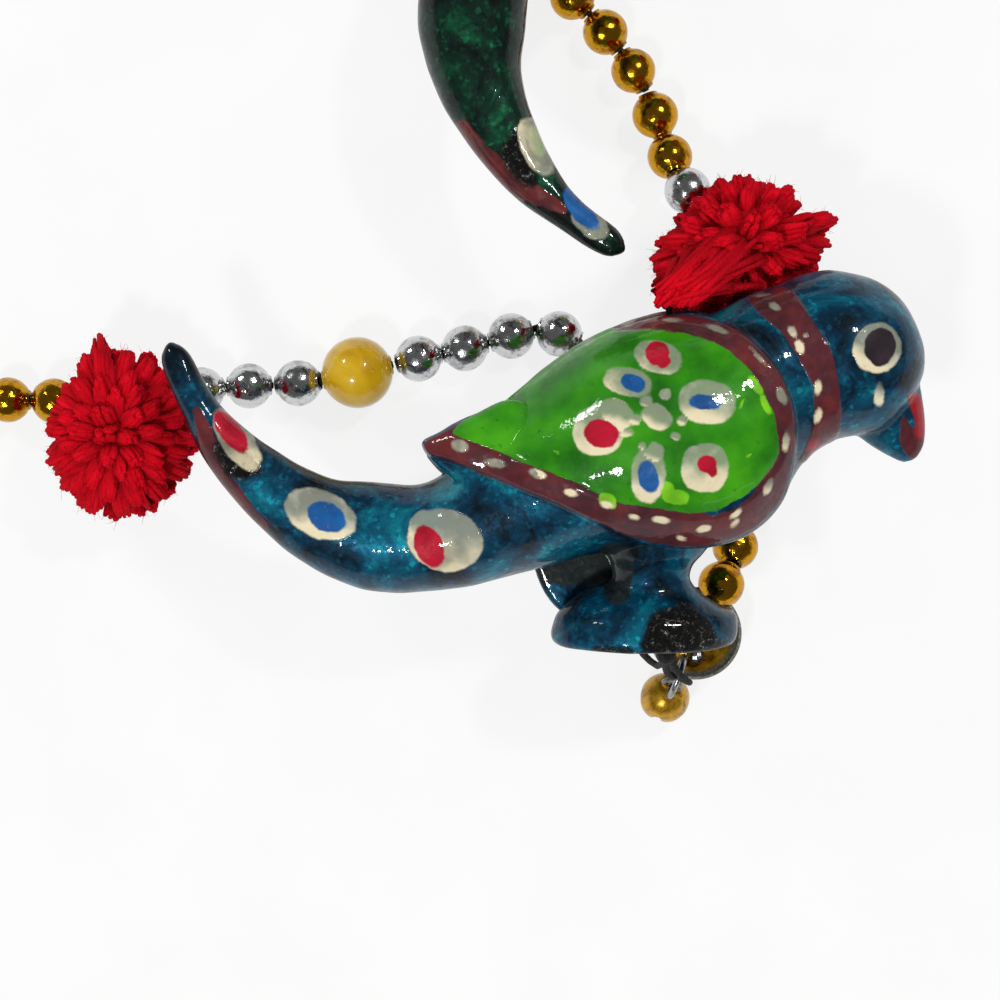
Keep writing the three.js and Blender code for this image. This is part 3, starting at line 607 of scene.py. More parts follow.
def lacquerMaterial(name, ground, second):
    # ground: four tones from dark to bright; second: the tone that the brush left in streaks
    material, tree, shader = newMaterial(name, Coat_Weight=0.5, Coat_Roughness=lacquerLook["coatRoughness"])
    shader.inputs["Coat IOR"].default_value = 1.45
    shader.inputs["Specular IOR Level"].default_value = 0.12
    place = objectPlace(tree)
    mottle = noise(tree, place, lacquerLook["mottle"], 6, 0.62, 0.6)
    streak = noise(tree, place, 320, 4, 0.7, 1.4)
    fleck = cells(tree, place, lacquerLook["fleck"], "Color")
    fleckLight = between(tree, fleck, 0.66, 0.98)
    tone = ramp(tree, mottle, [(0.36, ground[0]), (0.46, ground[1]), (0.56, ground[2]), (0.7, ground[3])])
    tone = tint(tree, tone, second, streak, 0.55, 0.75, 0, 0.75)
    sparkle = times(tree, fleckLight, between(tree, mottle, 0.42, 0.62, 0.15, 0.8))
    tone = mix(tree, sparkle, tone, ground[3], "SCREEN")
    # Painted shade from the shade attribute: darker along the tail's edges, with random darker patches
    tone = mix(tree, attribute(tree, "shade"), tone, ground[0])

    grain = noise(tree, place, 700, 3, 0.6)
    wobble = maths(tree, "SUBTRACT", noise(tree, place, 430, 3, 0.6), 0.5)
    ragged = times(tree, wobble, lacquerLook["edgeRagged"] * 2)
    patchy = noise(tree, place, 200, 4, 0.55)
    cloudy = noise(tree, place, 120, 3, 0.5)

    border = paintMask(tree, "border", ragged)
    borderTone = ramp(tree, patchy, [(0.3, 58, 20, 26), (0.5, 80, 28, 32), (0.72, 108, 36, 34)])
    borderTone = tint(tree, borderTone, colour(146, 20, 30), attribute(tree, "bright"), 3, -3)
    tone = mix(tree, times(tree, border, 0.96), tone, borderTone)
    panel = paintMask(tree, "panel", ragged, 0.6)
    panelTone = ramp(tree, cloudy, [(0.3, 18, 92, 2), (0.5, 40, 126, 4), (0.72, 62, 152, 8)])
    panelTone = tint(tree, panelTone, colour(22, 74, 10), grain, 0.62, 0.75, 0, 0.5)
    tone = mix(tree, panel, tone, panelTone)
    # Painted shade and reflection: flat dark slate grey, standing for shade on the lobe behind the leg and for a
    # reflection on the leg patch
    slateShadeReflection = paintMask(tree, "slateShadeReflection", times(tree, ragged, 1.5), 2.0)
    rough = noise(tree, place, 500, 5, 0.75, 0.8)
    slateShadeReflectionTone = ramp(tree, rough, [(0.35, 14, 20, 22), (0.6, 32, 42, 44), (0.75, 56, 64, 66)])
    tone = mix(tree, slateShadeReflection, tone, slateShadeReflectionTone)
    worn = paintMask(tree, "worn", times(tree, ragged, 3.0), 3.0)
    chips = noise(tree, place, 900, 5, 0.9)
    wornTone = ramp(tree, chips, [(0.45, 8, 9, 9), (0.58, 30, 30, 28), (0.66, 176, 174, 160)])
    tone = mix(tree, worn, tone, wornTone)
    lime = paintMask(tree, "lime", ragged, 0.7)
    thin = between(tree, cloudy, 0.35, 0.6, 0.45, 0.9)
    tone = mix(tree, times(tree, lime, thin), tone, colour(132, 208, 34))
    white = paintMask(tree, "white", ragged)
    drift = times(tree, maths(tree, "SUBTRACT", cloudy, 0.5), 3.0)
    pool = between(tree, maths(tree, "ADD", attribute(tree, "pool"), drift), -0.2, 0.75)
    whiteTone = mix(tree, pool, colour(138, 142, 124), colour(216, 204, 170))
    whiteTone = tint(tree, whiteTone, colour(220, 214, 192), patchy, 0.5, 0.72, 0, 0.5)
    whiteTone = tint(tree, whiteTone, colour(112, 112, 92), grain, 0.64, 0.74, 0, 0.35)
    cover = times(tree, between(tree, grain, 0.2, 0.42, 0.78, 1.0), between(tree, pool, 0, 1, 0.74, 1.0))
    tone = mix(tree, times(tree, white, cover), tone, whiteTone)
    red = paintMask(tree, "red", ragged, 0.8)
    tone = mix(tree, red, tone, ramp(tree, patchy, [(0.3, 134, 4, 28), (0.65, 180, 12, 44)]))
    blue = paintMask(tree, "blue", ragged, 0.8)
    tone = mix(tree, times(tree, blue, between(tree, grain, 0.25, 0.4, 0.75, 1.0)), tone,
               ramp(tree, patchy, [(0.3, 10, 58, 112), (0.65, 24, 90, 154)]))
    dark = paintMask(tree, "dark", ragged, 0.8)
    tone = mix(tree, dark, tone, ramp(tree, patchy, [(0.3, 26, 20, 24), (0.7, 50, 40, 46)]))
    tree.links.new(tone, shader.inputs["Base Color"])

    painted = maths(tree, "MAXIMUM", panel, white)
    for mask in (red, blue, lime, dark):
        painted = maths(tree, "MAXIMUM", painted, mask)
    covered = maths(tree, "MAXIMUM", painted, times(tree, maths(tree, "MAXIMUM", border, slateShadeReflection), 0.85))
    tree.links.new(between(tree, covered, 0, 1, 0.42, 0.0), shader.inputs["Metallic"])
    tree.links.new(between(tree, fleck, 0, 1, 0.36, 0.58), shader.inputs["Roughness"])

    layers = maths(tree, "ADD", painted, times(tree, border, 0.6))
    normal = bump(tree, layers, lacquerLook["paintThickness"], 0.8)
    sag = noise(tree, place, 260, 3, 0.55)
    coat = bump(tree, sag, 0.0006, 0.22, normal)
    normal = bump(tree, sag, 0.0006, 0.45, normal)
    normal = bump(tree, times(tree, worn, chips), 0.0006, 1.0, normal)
    tree.links.new(bump(tree, fleck, 0.00008, 0.6, normal), shader.inputs["Normal"])
    tree.links.new(bump(tree, grain, 0.0001, 0.3, coat), shader.inputs["Coat Normal"])
    return material


def paintBird(thing, local, name):
    # Signed distances in pixels to each colour's outline, the same on both sides of the bird
    mirrored = np.stack([local[:, 0], local[:, 1], np.abs(local[:, 2])], axis=1)
    pixels = photoPixels(placeBird(mirrored, "bird_1"))
    outline = {
        key: outlineDistance(pixels, value) for key, value in paintPlan.items() if isinstance(value, list)
    }
    border = np.minimum(outline["border"], outline["collar"])
    border = np.maximum(border, -outline["sliver"])
    border = np.minimum(border, np.minimum(outline["beak"], outline["beakMiddle"]))
    setFloat(thing, "border", np.minimum(border, outline["tailEdge"]))
    setFloat(thing, "bright", np.minimum(outline["beak"], outline["throat"] + 4))
    setFloat(thing, "panel", outline["panel"])
    white = np.minimum(dabDistance(pixels, flowerWhite), dabDistance(pixels, whiteDashes, 2.0))
    white = np.minimum(white, dabDistance(pixels, eye["ring"], 2.0))
    red = dabDistance(pixels, flowerRed)
    blue = dabDistance(pixels, flowerBlue)
    lime = dabDistance(pixels, limeDabs)
    pool = dabHeight(pixels, flowerWhite + tailWhite + eye["ring"])
    if name == "bird_1":
        white = np.minimum(white, dabDistance(pixels, tailWhite, 2.0))
        red = np.minimum(red, dabDistance(pixels, tailRed, 2.0))
        blue = np.minimum(blue, dabDistance(pixels, tailBlue, 2.0))
    else:
        flipped = np.stack([local[:, 0], local[:, 1], -np.abs(local[:, 2])], axis=1)
        seen = photoPixels(placeBird(flipped, "bird_2"))
        white = np.minimum(white, dabDistance(seen, otherTail["white"]))
        blue = np.minimum(blue, dabDistance(seen, otherTail["blue"]))
        lime = np.minimum(lime, dabDistance(seen, otherTail["green"]))
    setFloat(thing, "white", white)
    setFloat(thing, "pool", pool)
    setFloat(thing, "red", red)
    setFloat(thing, "blue", blue)
    setFloat(thing, "lime", lime)
    setFloat(thing, "dark", dabDistance(pixels, eye["pupil"], 2.0))
    wornParts = [outline["wornEdge"], outline["wornStand"], outline["wornBase"]]
    setFloat(thing, "worn", np.minimum.reduce(wornParts))
    # The flat lobe behind the leg is painted flat dark slate grey for the shade there: inside its thickness and its
    # rim, above the stand; the outline on the leg is a painted reflection in the same grey
    lobe = np.array(birdForm["lobeAt"])
    rim = np.linalg.norm(local[:, :2] - lobe[:2], axis=1) - birdForm["lobeRadius"] - 0.6
    slab = np.abs(local[:, 2] - lobe[2]) - birdForm["lobeThickness"] / 2 - 0.5
    lobeDistance = 6 * np.maximum(np.maximum(rim, slab), np.maximum(local[:, 0] + 4, -18.5 - local[:, 1]))
    setFloat(thing, "slateShadeReflection", np.clip(np.minimum(lobeDistance, outline["slateShadeReflection"]), -14, 14))
    # Painted shade: darker along the tail's edges, where its two sides meet; the wave term adds random darker patches
    edge = smoothStep(-np.abs(local[:, 2]), -3.5, -0.5) * smoothStep(-local[:, 0], 15, 30)
    setFloat(thing, "shade", np.maximum(smoothStep(waves(local, 26, 4), 0.45, 1.2) * 0.7, edge * 0.75))


def finishBird(name, blank, material):
    # The wing panels stand out from the body, a rim rises round them, and the whole skin is a little lumpy
    mesh = blank.data.copy()
    thing = bpy.data.objects.new(name + "_skin", mesh)
    bpy.context.scene.collection.objects.link(thing)
    local = readPoints(mesh)
    normals = readNormals(mesh)
    mirrored = np.stack([local[:, 0], local[:, 1], np.abs(local[:, 2])], axis=1)
    pixels = photoPixels(placeBird(mirrored, "bird_1"))
    border = outlineDistance(pixels, paintPlan["border"])
    panel = outlineDistance(pixels, paintPlan["panel"])
    collar = outlineDistance(pixels, paintPlan["collar"])
    onBody = smoothStep(np.abs(local[:, 2]), 1.0, 4.0)
    relief = birdForm["wingRelief"] * smoothStep(-border, -3.0, 5.0) * onBody
    rim = birdForm["rimHeight"] * smoothStep(-border, -1, 6) * smoothStep(panel, -4, 3)
    relief = relief + rim * onBody + birdForm["collarHeight"] * smoothStep(-collar, -2, 5)
    relief = relief + birdForm["lumpHeight"] * waves(local, birdForm["lumpLength"], 11, 2)
    local = local + normals * relief[:, None]
    writePoints(mesh, local)
    drill = loftMesh("drill", drillRings())
    cut = thing.modifiers.new("bore", "BOOLEAN")
    cut.operation = "DIFFERENCE"
    cut.object = drill
    cut.solver = "EXACT"
    applyModifiers(thing)
    bpy.data.objects.remove(drill)
    mesh = thing.data
    local = readPoints(mesh)
    paintBird(thing, local, name)
    writePoints(mesh, placeBird(local, name))
    mesh.polygons.foreach_set("use_smooth", np.ones(len(mesh.polygons), dtype=bool))
    keepPiece(thing, name, material)
    print(name, len(mesh.polygons), "faces")


def drillRings():
    # A round bar along v, a little longer than the bird is tall
    angle = np.linspace(0, 2 * math.pi, 24, endpoint=False)
    levels = np.array([-34.0, 38.0])
    rings = np.zeros((2, 24, 3))
    rings[:, :, 0] = birdForm["boreRadius"] * np.cos(angle)
    rings[:, :, 1] = levels[:, None]
    rings[:, :, 2] = birdForm["boreRadius"] * np.sin(angle)
    return rings


blank = birdBlank()
tealLacquer = lacquerMaterial(
    "teal_lacquer_coat",
    [colour(2, 12, 22), colour(0, 46, 70), colour(0, 76, 102), colour(8, 126, 140)],
    colour(0, 26, 44),
)
greenLacquer = lacquerMaterial(
    "green_lacquer_coat",
    [colour(2, 8, 8), colour(4, 22, 18), colour(6, 42, 30), colour(14, 94, 58)],
    colour(4, 8, 10),
)
finishBird("bird_1", blank, tealLacquer)
finishBird("bird_2", blank, greenLacquer)
bpy.data.objects.remove(blank)
print("birds done")


# Wool pom-poms: plied yarn ends from a tied middle, trimmed to an uneven ball
# reach: how far the yarn reaches from its tie, in pixels by angle
pomPlan = {
    "pompom_1": {
        "tie": (120, 435), "depth": 12.0, "seed": 21, "rise": 1.0,
        "reach": {0: 76, 25: 78, 45: 80, 60: 84, 75: 87, 90: 88, 97: 92, 101: 106, 107: 90, 115: 86, 135: 76, 150: 72,
                  180: 73, 205: 77, 230: 79, 250: 83, 262: 82, 268: 87, 274: 81, 285: 86, 300: 80, 315: 80, 335: 79},
    },
    "pompom_2": {
        "tie": (738, 246), "depth": 14.0, "seed": 22, "rise": 1.12,
        "reach": {1: 89, 6: 87, 9: 92, 12: 104, 19: 95, 22: 79, 25: 52, 29: 60, 33: 74, 38: 76, 47: 75, 65: 65, 82: 68,
                  97: 67, 115: 67, 121: 62, 152: 65, 173: 74, 179: 84, 196: 92, 209: 97, 218: 100, 240: 90, 270: 76,
                  300: 76, 330: 80, 347: 84, 352: 87},
        # A tuft that hangs over the knot on the bird's back: pixels of its middle, its spread, and its height
        "tuft": {"at": (674, 296), "spread": (19, 12), "height": 34.2, "ends": 120},
    },
    "pompom_3": {
        "tie": None, "depth": 12.0, "seed": 23, "rise": 1.0,
        "reach": {0: 76, 60: 84, 130: 78, 200: 86, 280: 82},
    },
}
yarn = {
    "ends": 2100,
    "radius": 0.62,
    "sides": 5,
    "rings": 7,
    "folds": 105,
    "gather": 0.5,
    "fuzz": 2200,
    "fuzzRadius": 0.045,
    "plies": 3,
    "twistPitch": 3.2,
    "core": 0.74,
}


def roundDirections(count, seed):
    # Even directions on a ball: heights in equal steps, turned by the golden angle, then jittered
    local = np.random.default_rng(seed)
    index = np.arange(count) + 0.5
    height = 1 - 2 * index / count
    angle = index * math.pi * (3 - math.sqrt(5))
    flat = np.sqrt(1 - height * height)
    rays = np.stack([flat * np.cos(angle), flat * np.sin(angle), height], axis=1)
    rays = rays + local.normal(scale=0.04, size=rays.shape)
    return rays / np.linalg.norm(rays, axis=1, keepdims=True)


def pomReach(rays, plan, radii, scale):
    # How far yarn reaches in each direction: outline by angle in plan, an oval by height
    angles = np.array(sorted(plan["reach"]))
    spans = np.array([plan["reach"][key] for key in angles]) * scale
    turn = np.degrees(np.arctan2(rays[:, 1], rays[:, 0])) % 360
    flat = np.interp(turn, np.append(angles, 360), np.append(spans, spans[0]))
    level = np.sqrt(rays[:, 0] ** 2 + rays[:, 1] ** 2)
    tall = radii[2] * np.where(rays[:, 2] > 0, plan["rise"], 1.0)
    return 1 / np.sqrt((level / flat) ** 2 + (rays[:, 2] / tall) ** 2)


def tubes(paths, radii, sides):
    # Round tubes along many paths at once. paths: (tubes, rings, 3); radii: (tubes, rings)
    count, rings = paths.shape[:2]
    along = np.gradient(paths, axis=1)
    along /= np.linalg.norm(along, axis=2, keepdims=True) + 1e-9
    helper = np.where(np.abs(along[:, :1, 2:3]) > 0.8, np.array([1.0, 0, 0]), np.array([0, 0, 1.0]))
    across = np.cross(along, np.broadcast_to(helper, along.shape))
    across /= np.linalg.norm(across, axis=2, keepdims=True) + 1e-9
    other = np.cross(along, across)
    angle = np.linspace(0, 2 * math.pi, sides, endpoint=False)
    ring = across[:, :, None] * np.cos(angle)[:, None] + other[:, :, None] * np.sin(angle)[:, None]
    points = paths[:, :, None] + ring * radii[:, :, None, None]
    grid = gridFaces(rings, sides)
    faces = (grid[None] + (np.arange(count) * rings * sides)[:, None, None]).reshape(-1, 4)
    caps = []
    for first, flip in ((0, True), ((rings - 1) * sides, False)):
        cap = capFaces(first, sides, flip)
        caps.append((cap[None] + (np.arange(count) * rings * sides)[:, None, None]).reshape(-1, 3))
    return points.reshape(-1, 3), [faces] + caps


def yarnPaths(plan, centre, radii, scale):
    # Each end leaves the tied middle near the nearer pole and bends over outwards; its tip is drawn to its fold
    local = np.random.default_rng(plan["seed"])
    rays = roundDirections(yarn["ends"], plan["seed"])
    folds = roundDirections(yarn["folds"], plan["seed"] + 5)
    close = rays @ folds.T
    fold = folds[close.argmax(axis=1)]
    spread = np.arccos(np.clip(close.max(axis=1), -1, 1)) / math.sqrt(4 / yarn["folds"])
    pulled = rays + (fold - rays) * yarn["gather"]
    pulled /= np.linalg.norm(pulled, axis=1, keepdims=True)
    reach = pomReach(pulled, plan, radii, scale)
    uneven = 0.015 * waves(rays, 0.7, plan["seed"], 2) - 0.07 * spread**2
    reach = reach * (1 + uneven + local.normal(scale=0.014, size=len(rays)))
    step = np.linspace(0, 1, yarn["rings"])
    blend = (step**1.3)[None, :, None]
    ways = rays[:, None] * (1 - blend) + pulled[:, None] * blend
    level = np.sqrt(ways[:, :, 0] ** 2 + ways[:, :, 1] ** 2)
    tilt = np.arctan2(level, np.abs(ways[:, :, 2])) * (0.4 + 0.6 * step[None] ** 0.8)
    flat = ways[:, :, :2] / (level[:, :, None] + 1e-6)
    ways[:, :, :2] = flat * np.sin(tilt)[:, :, None]
    ways[:, :, 2] = np.sign(ways[:, :, 2] + 1e-6) * np.cos(tilt)
    distance = reach[:, None] * (0.5 + 0.5 * step[None] ** 0.75)
    sway = np.stack([waves(rays, 0.5, plan["seed"] + k, 2) for k in range(1, 4)], axis=1)
    paths = centre + ways * distance[:, :, None] + sway[:, None] * (step**1.6)[None, :, None] * 0.5
    # Painted shade: ends far from their fold's middle, at the edge of a clump, get more shade and are drawn darker
    shade = np.clip(spread, 0, 1.3)
    if "tuft" in plan:
        more = tuftPaths(plan, centre, radii)
        paths = np.concatenate([paths, more])
        rays = np.concatenate([rays, np.tile([0, 0, 1.0], (len(more), 1))])
        shade = np.concatenate([shade, local.uniform(0, 0.7, len(more))])
    return paths, rays, shade


def tuftPaths(plan, centre, radii):
    # Ends that arch from high on the ball to points spread round one place
    # Straight in plan, and a parabola in height
    tuft = plan["tuft"]
    local = np.random.default_rng(plan["seed"] + 9)
    where = np.array(tuft["at"]) + local.uniform(-1, 1, (tuft["ends"], 2)) * tuft["spread"]
    ends = np.zeros((tuft["ends"], 3))
    ends[:, :2] = photoPlace(where, tuft["height"])
    ends[:, 2] = tuft["height"] + local.uniform(-1.4, 1.0, tuft["ends"])
    starts = centre + (ends - centre) * [0.3, 0.3, 0] + [0, 0, 0.8] * np.array([1, 1, radii[2]])
    starts = starts + local.normal(scale=2.6, size=starts.shape) * [1, 1, 0.4]
    t = np.linspace(0, 1, yarn["rings"])[None, :, None]
    arch = 4 * t * (1 - t) * 1.6
    return starts[:, None] * (1 - t) + ends[:, None] * t + arch * np.array([0, 0, 1.0])


def pomPom(name, material):
    plan = pomPlan[name]
    low, high = (np.array(corner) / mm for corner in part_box(name))
    middle, radii = (low + high) / 2, (high - low) / 2
    scale = photoScale(plan["depth"])
    centre = middle.copy()
    if plan["tie"]:
        centre[:2] = photoPlace(plan["tie"], plan["depth"])
    local = np.random.default_rng(plan["seed"] + 30)
    paths, rays, shade = yarnPaths(plan, centre, radii, scale)
    step = np.linspace(0, 1, yarn["rings"])
    paths[:, :, 2] = np.maximum(paths[:, :, 2], yarn["radius"] + 0.1)
    thick = yarn["radius"] * (0.8 + 0.4 * local.random((len(rays), 1))) * (1 - 0.4 * (step**5)[None])
    points, faces = tubes(paths, thick, yarn["sides"])
    ball = meshObject(name + "_yarn", points, faces)
    length = np.cumsum(np.linalg.norm(np.diff(paths, axis=1, prepend=paths[:, :1]), axis=2), axis=1)
    perEnd = yarn["rings"] * yarn["sides"]
    setFloat(ball, "around", np.tile(np.arange(yarn["sides"]) / yarn["sides"], len(rays) * yarn["rings"]))
    setFloat(ball, "along", np.repeat((length / yarn["twistPitch"]).reshape(-1), yarn["sides"]))
    setFloat(ball, "depth", np.repeat(np.tile(step, len(rays)), yarn["sides"]))
    setFloat(ball, "fold", np.repeat(shade, perEnd))
    setFloat(ball, "strand", np.repeat(local.random(len(rays)), perEnd))
    ball.data.materials.append(material)
    # Loose fibres that stand off the yarn
    hair = np.random.default_rng(plan["seed"] + 50)
    start = hair.integers(0, len(rays), yarn["fuzz"])
    where = hair.integers(3, yarn["rings"], yarn["fuzz"])
    root = paths[start, where]
    way = rays[start] * 0.6 + hair.normal(scale=0.7, size=(yarn["fuzz"], 3))
    way /= np.linalg.norm(way, axis=1, keepdims=True)
    side = np.cross(way, hair.normal(size=way.shape))
    t = np.linspace(0, 1, 4)
    reachOut = hair.uniform(0.7, 1.7, (yarn["fuzz"], 1, 1))
    hairs = root[:, None] + way[:, None] * t[None, :, None] * reachOut + side[:, None] * (t**2)[None, :, None] * 0.5
    hairs[:, :, 2] = np.maximum(hairs[:, :, 2], 0.1)
    points, faces = tubes(hairs, np.full((yarn["fuzz"], 4), yarn["fuzzRadius"]) * (1 - 0.6 * t)[None], 3)
    fuzz = meshObject(name + "_fibres", points, faces)
    setFloat(fuzz, "depth", np.ones(len(points)))
    setFloat(fuzz, "strand", np.full(len(points), 0.6))
    fuzz.data.materials.append(material)
    # A solid middle that closes the gaps between the ends; with no depth of its own it takes the full painted shade of
    # the deep yarn
    turn, tilt = np.meshgrid(np.linspace(0, 2 * math.pi, 32, endpoint=False), np.linspace(-1.5, 1.5, 20))
    shell = np.stack([np.cos(tilt) * np.cos(turn), np.cos(tilt) * np.sin(turn), np.sin(tilt)], axis=-1)
    shell = shell.reshape(-1, 3)
    core = centre + shell * (pomReach(shell, plan, radii, scale) * yarn["core"])[:, None]
    core[:, 2] = np.maximum(core[:, 2], 0.4)
    middleBall = loftMesh(name + "_middle", core.reshape(20, 32, 3))
    middleBall.data.materials.append(material)
    return ball, fuzz, middleBall


def woolMaterial():
    material, tree, shader = newMaterial("red_wool_yarn", Roughness=0.9, Sheen_Weight=0.12, Sheen_Roughness=0.4)
    shader.inputs["Sheen Tint"].default_value = colour(255, 40, 50)
    shader.inputs["Specular IOR Level"].default_value = 0.08
    place = objectPlace(tree)
    twist = maths(tree, "ADD", attribute(tree, "around"), attribute(tree, "along"))
    ply = maths(tree, "SINE", times(tree, twist, 2 * math.pi * yarn["plies"]))
    fibre = noise(tree, place, 2600, 3, 0.7)
    cloud = noise(tree, place, 150, 2, 0.5)
    strands = [(0.0, 190, 0, 18), (0.5, 206, 0, 24), (1.0, 220, 6, 34)]
    tone = ramp(tree, attribute(tree, "strand"), strands)
    # Painted shade in the grooves between the plies
    tone = tint(tree, tone, colour(130, 0, 12), ply, -1.0, 0.2, 0.12, 0.0)
    # Painted shade: darker at the edges of the clumps, from the fold attribute
    tone = tint(tree, tone, colour(150, 0, 14), attribute(tree, "fold"), 0.45, 1.15, 0, 0.6)
    # Painted shade: darker deep in the ball near the tie, lighter towards the yarn tips
    tone = tint(tree, tone, colour(140, 0, 14), attribute(tree, "depth"), 0.3, 0.95, 0.75, 0.0)
    tone = tint(tree, tone, colour(160, 0, 16), cloud, 0.35, 0.65, 0.25, 0.0)
    tone = tint(tree, tone, colour(226, 30, 44), fibre, 0.35, 0.7, 0.12, 0.0)
    tree.links.new(tone, shader.inputs["Base Color"])
    height = maths(tree, "ADD", times(tree, ply, 0.5), fibre)
    tree.links.new(bump(tree, height, 0.0001, 0.6), shader.inputs["Normal"])
    return material


redWool = woolMaterial()
for name in pomPlan:
    pieces = pomPom(name, redWool)
    for piece in pieces:
        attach(piece, nodeBody[name])
    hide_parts(name)
    print(name, sum(len(piece.data.polygons) for piece in pieces), "faces")


# Plated plastic beads: a ball with a round hole, a raised parting line and soft dents in the plating
beadForm = {
    "holeRadius": 1.0,
    "rows": 30,
    "columns": 48,
    "seam": 0.07,
    "seamWidth": 0.22,
    "dent": 0.035,
    "collarRadius": 1.75,
    "collarRound": 0.3,
}
pins = {joint["child"]: joint for joint in frame["joints"]}


def sideAxes(axis):
    # Two directions square to an axis
    axis = axis / np.linalg.norm(axis)
    helper = np.array([0, 0, 1.0]) if abs(axis[2]) < 0.9 else np.array([1.0, 0, 0])
    first = np.cross(axis, helper)
    first /= np.linalg.norm(first)
    return axis, first, np.cross(axis, first)


def lathe(name, profile, centre, axis, columns, closed=True):
    # profile rows: (height along the axis, radius); a closed profile comes back to its first row
    axis, first, second = sideAxes(np.asarray(axis, dtype=float))
    profile = np.asarray(profile, dtype=float)
    if closed:
        profile = np.vstack([profile, profile[:1]])
    turn = np.linspace(0, 2 * math.pi, columns, endpoint=False)
    ring = first * np.cos(turn)[:, None] + second * np.sin(turn)[:, None]
    points = np.asarray(centre) + profile[:, None, 0:1] * axis + profile[:, None, 1:2] * ring[None]
    faces = gridFaces(len(profile), columns)
    if closed:
        count = (len(profile) - 1) * columns
        points = points[:-1]
        faces = faces % count
    return meshObject(name, points.reshape(-1, 3), faces)


def beadProfile(radius):
    # Up the ball, out over a short collar at each mouth, over its rounded lip and back down the hole
    collar, lip = beadForm["collarRadius"], beadForm["collarRound"]
    edge = math.acos((collar + 0.05) / radius)
    tilt = np.linspace(-edge, edge, beadForm["rows"])
    ball = np.stack([radius * np.sin(tilt), radius * np.cos(tilt)], axis=1)
    turn = np.linspace(0, math.pi / 2, 4)
    outer = np.stack([radius - lip + lip * np.sin(turn), collar - lip + lip * np.cos(turn)], axis=1)
    hole = beadForm["holeRadius"]
    inner = np.array([[radius - 0.05, hole + 0.1], [radius - 0.3, hole]])
    top = np.vstack([outer, inner])
    bottom = top[::-1] * np.array([-1, 1])
    return np.vstack([bottom, ball, top])


def makeBead(name, material, seed):
    pin = pins[name]
    centre = np.array(pin["pos_m"]) / mm
    low, high = (np.array(corner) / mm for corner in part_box(name))
    radius = float(np.max(high - low)) / 2
    bead = lathe(name + "_ball", beadProfile(radius), centre, pin["axis"], beadForm["columns"])
    local = np.random.default_rng(seed)
    points = readPoints(bead.data)
    away = points - centre
    axis, first, second = sideAxes(np.array(pin["axis"], dtype=float))
    turn = local.uniform(0, math.pi)
    seamNormal = first * math.cos(turn) + second * math.sin(turn)
    off = away @ seamNormal
    outer = smoothStep(np.linalg.norm(away, axis=1), radius * 0.9, radius * 0.98)
    lift = beadForm["seam"] * np.exp(-((off / beadForm["seamWidth"]) ** 2))
    lift = lift + beadForm["dent"] * waves(away, radius * 1.6, seed, 2)
    points = points + away / radius * (lift * outer)[:, None]
    writePoints(bead.data, points)
    setFloat(bead, "seam", np.exp(-((off / 0.3) ** 2)) * outer)
    # rim: nearness to the bore, where shade is painted
    setFloat(bead, "rim", smoothStep(-np.linalg.norm(np.cross(away, axis), axis=1), -2.4, -1.0))
    keepPiece(bead, name, material)


def platedMaterial(name, bright, dull, stain):
    # Thin metal plating over plastic: bright, a little rippled, scuffed, darker where the plating wore off
    material, tree, shader = newMaterial(name, Metallic=1.0)
    place = objectPlace(tree)
    scuff = noise(tree, place, 420, 5, 0.65, 0.4)
    speck = noise(tree, place, 1300, 4, 0.75)
    tone = tint(tree, bright, dull, scuff, 0.48, 0.66)
    tone = tint(tree, tone, stain, speck, 0.58, 0.7, 0, 0.75)
    # Painted shade: darker in and round the bore, from the rim attribute
    tone = tint(tree, tone, stain, attribute(tree, "rim"), 0.25, 1.0, 0, 0.85)
    tone = tint(tree, tone, stain, attribute(tree, "seam"), 0.5, 1, 0, 0.3)
    tree.links.new(tone, shader.inputs["Base Color"])
    tree.links.new(between(tree, scuff, 0.4, 0.7, 0.08, 0.3), shader.inputs["Roughness"])
    ripple = noise(tree, place, 330, 3, 0.6)
    normal = bump(tree, ripple, 0.0005, 0.45)
    tree.links.new(bump(tree, speck, 0.00008, 0.4, normal), shader.inputs["Normal"])
    return material


def amberMaterial():
    # Clear resin over a milky yellow heart, faintly streaked
    material, tree, shader = newMaterial("amber_resin", Roughness=0.3, Coat_Weight=1.0, Coat_Roughness=0.04)
    shader.inputs["Specular IOR Level"].default_value = 0.1
    shader.inputs["Subsurface Weight"].default_value = 0.35
    shader.inputs["Subsurface Radius"].default_value = (0.9, 0.55, 0.15)
    shader.inputs["Subsurface Scale"].default_value = 0.003
    place = objectPlace(tree)
    swirl = noise(tree, place, 120, 4, 0.5, 1.0)
    cloud = noise(tree, place, 60, 2, 0.5, 0.5)
    tone = ramp(tree, swirl, [(0.3, 178, 136, 6), (0.5, 198, 160, 26), (0.7, 212, 178, 66)])
    tone = tint(tree, tone, colour(164, 120, 4), cloud, 0.45, 0.7, 0, 0.5)
    # Painted shade: darker round the hole
    tone = tint(tree, tone, colour(110, 78, 6), attribute(tree, "rim"), 0.3, 1.0, 0, 0.7)
    tree.links.new(tone, shader.inputs["Base Color"])
    tree.links.new(bump(tree, noise(tree, place, 400, 2, 0.5), 0.0001, 0.3), shader.inputs["Normal"])
    return material


goldPlate = platedMaterial("gold_plate", colour(196, 142, 24), colour(150, 100, 12), colour(56, 34, 4))
silverPlate = platedMaterial("silver_plate", colour(206, 207, 208), colour(150, 150, 152), colour(36, 36, 38))
amberResin = amberMaterial()
for index, name in enumerate(sorted(name for name in pins if name in nodes and "bead" in name)):
    if name.startswith("gold"):
        makeBead(name, goldPlate, index)
    elif name.startswith("silver"):
        makeBead(name, silverPlate, index)
    else:
        makeBead(name, amberResin, index)
print("beads done")


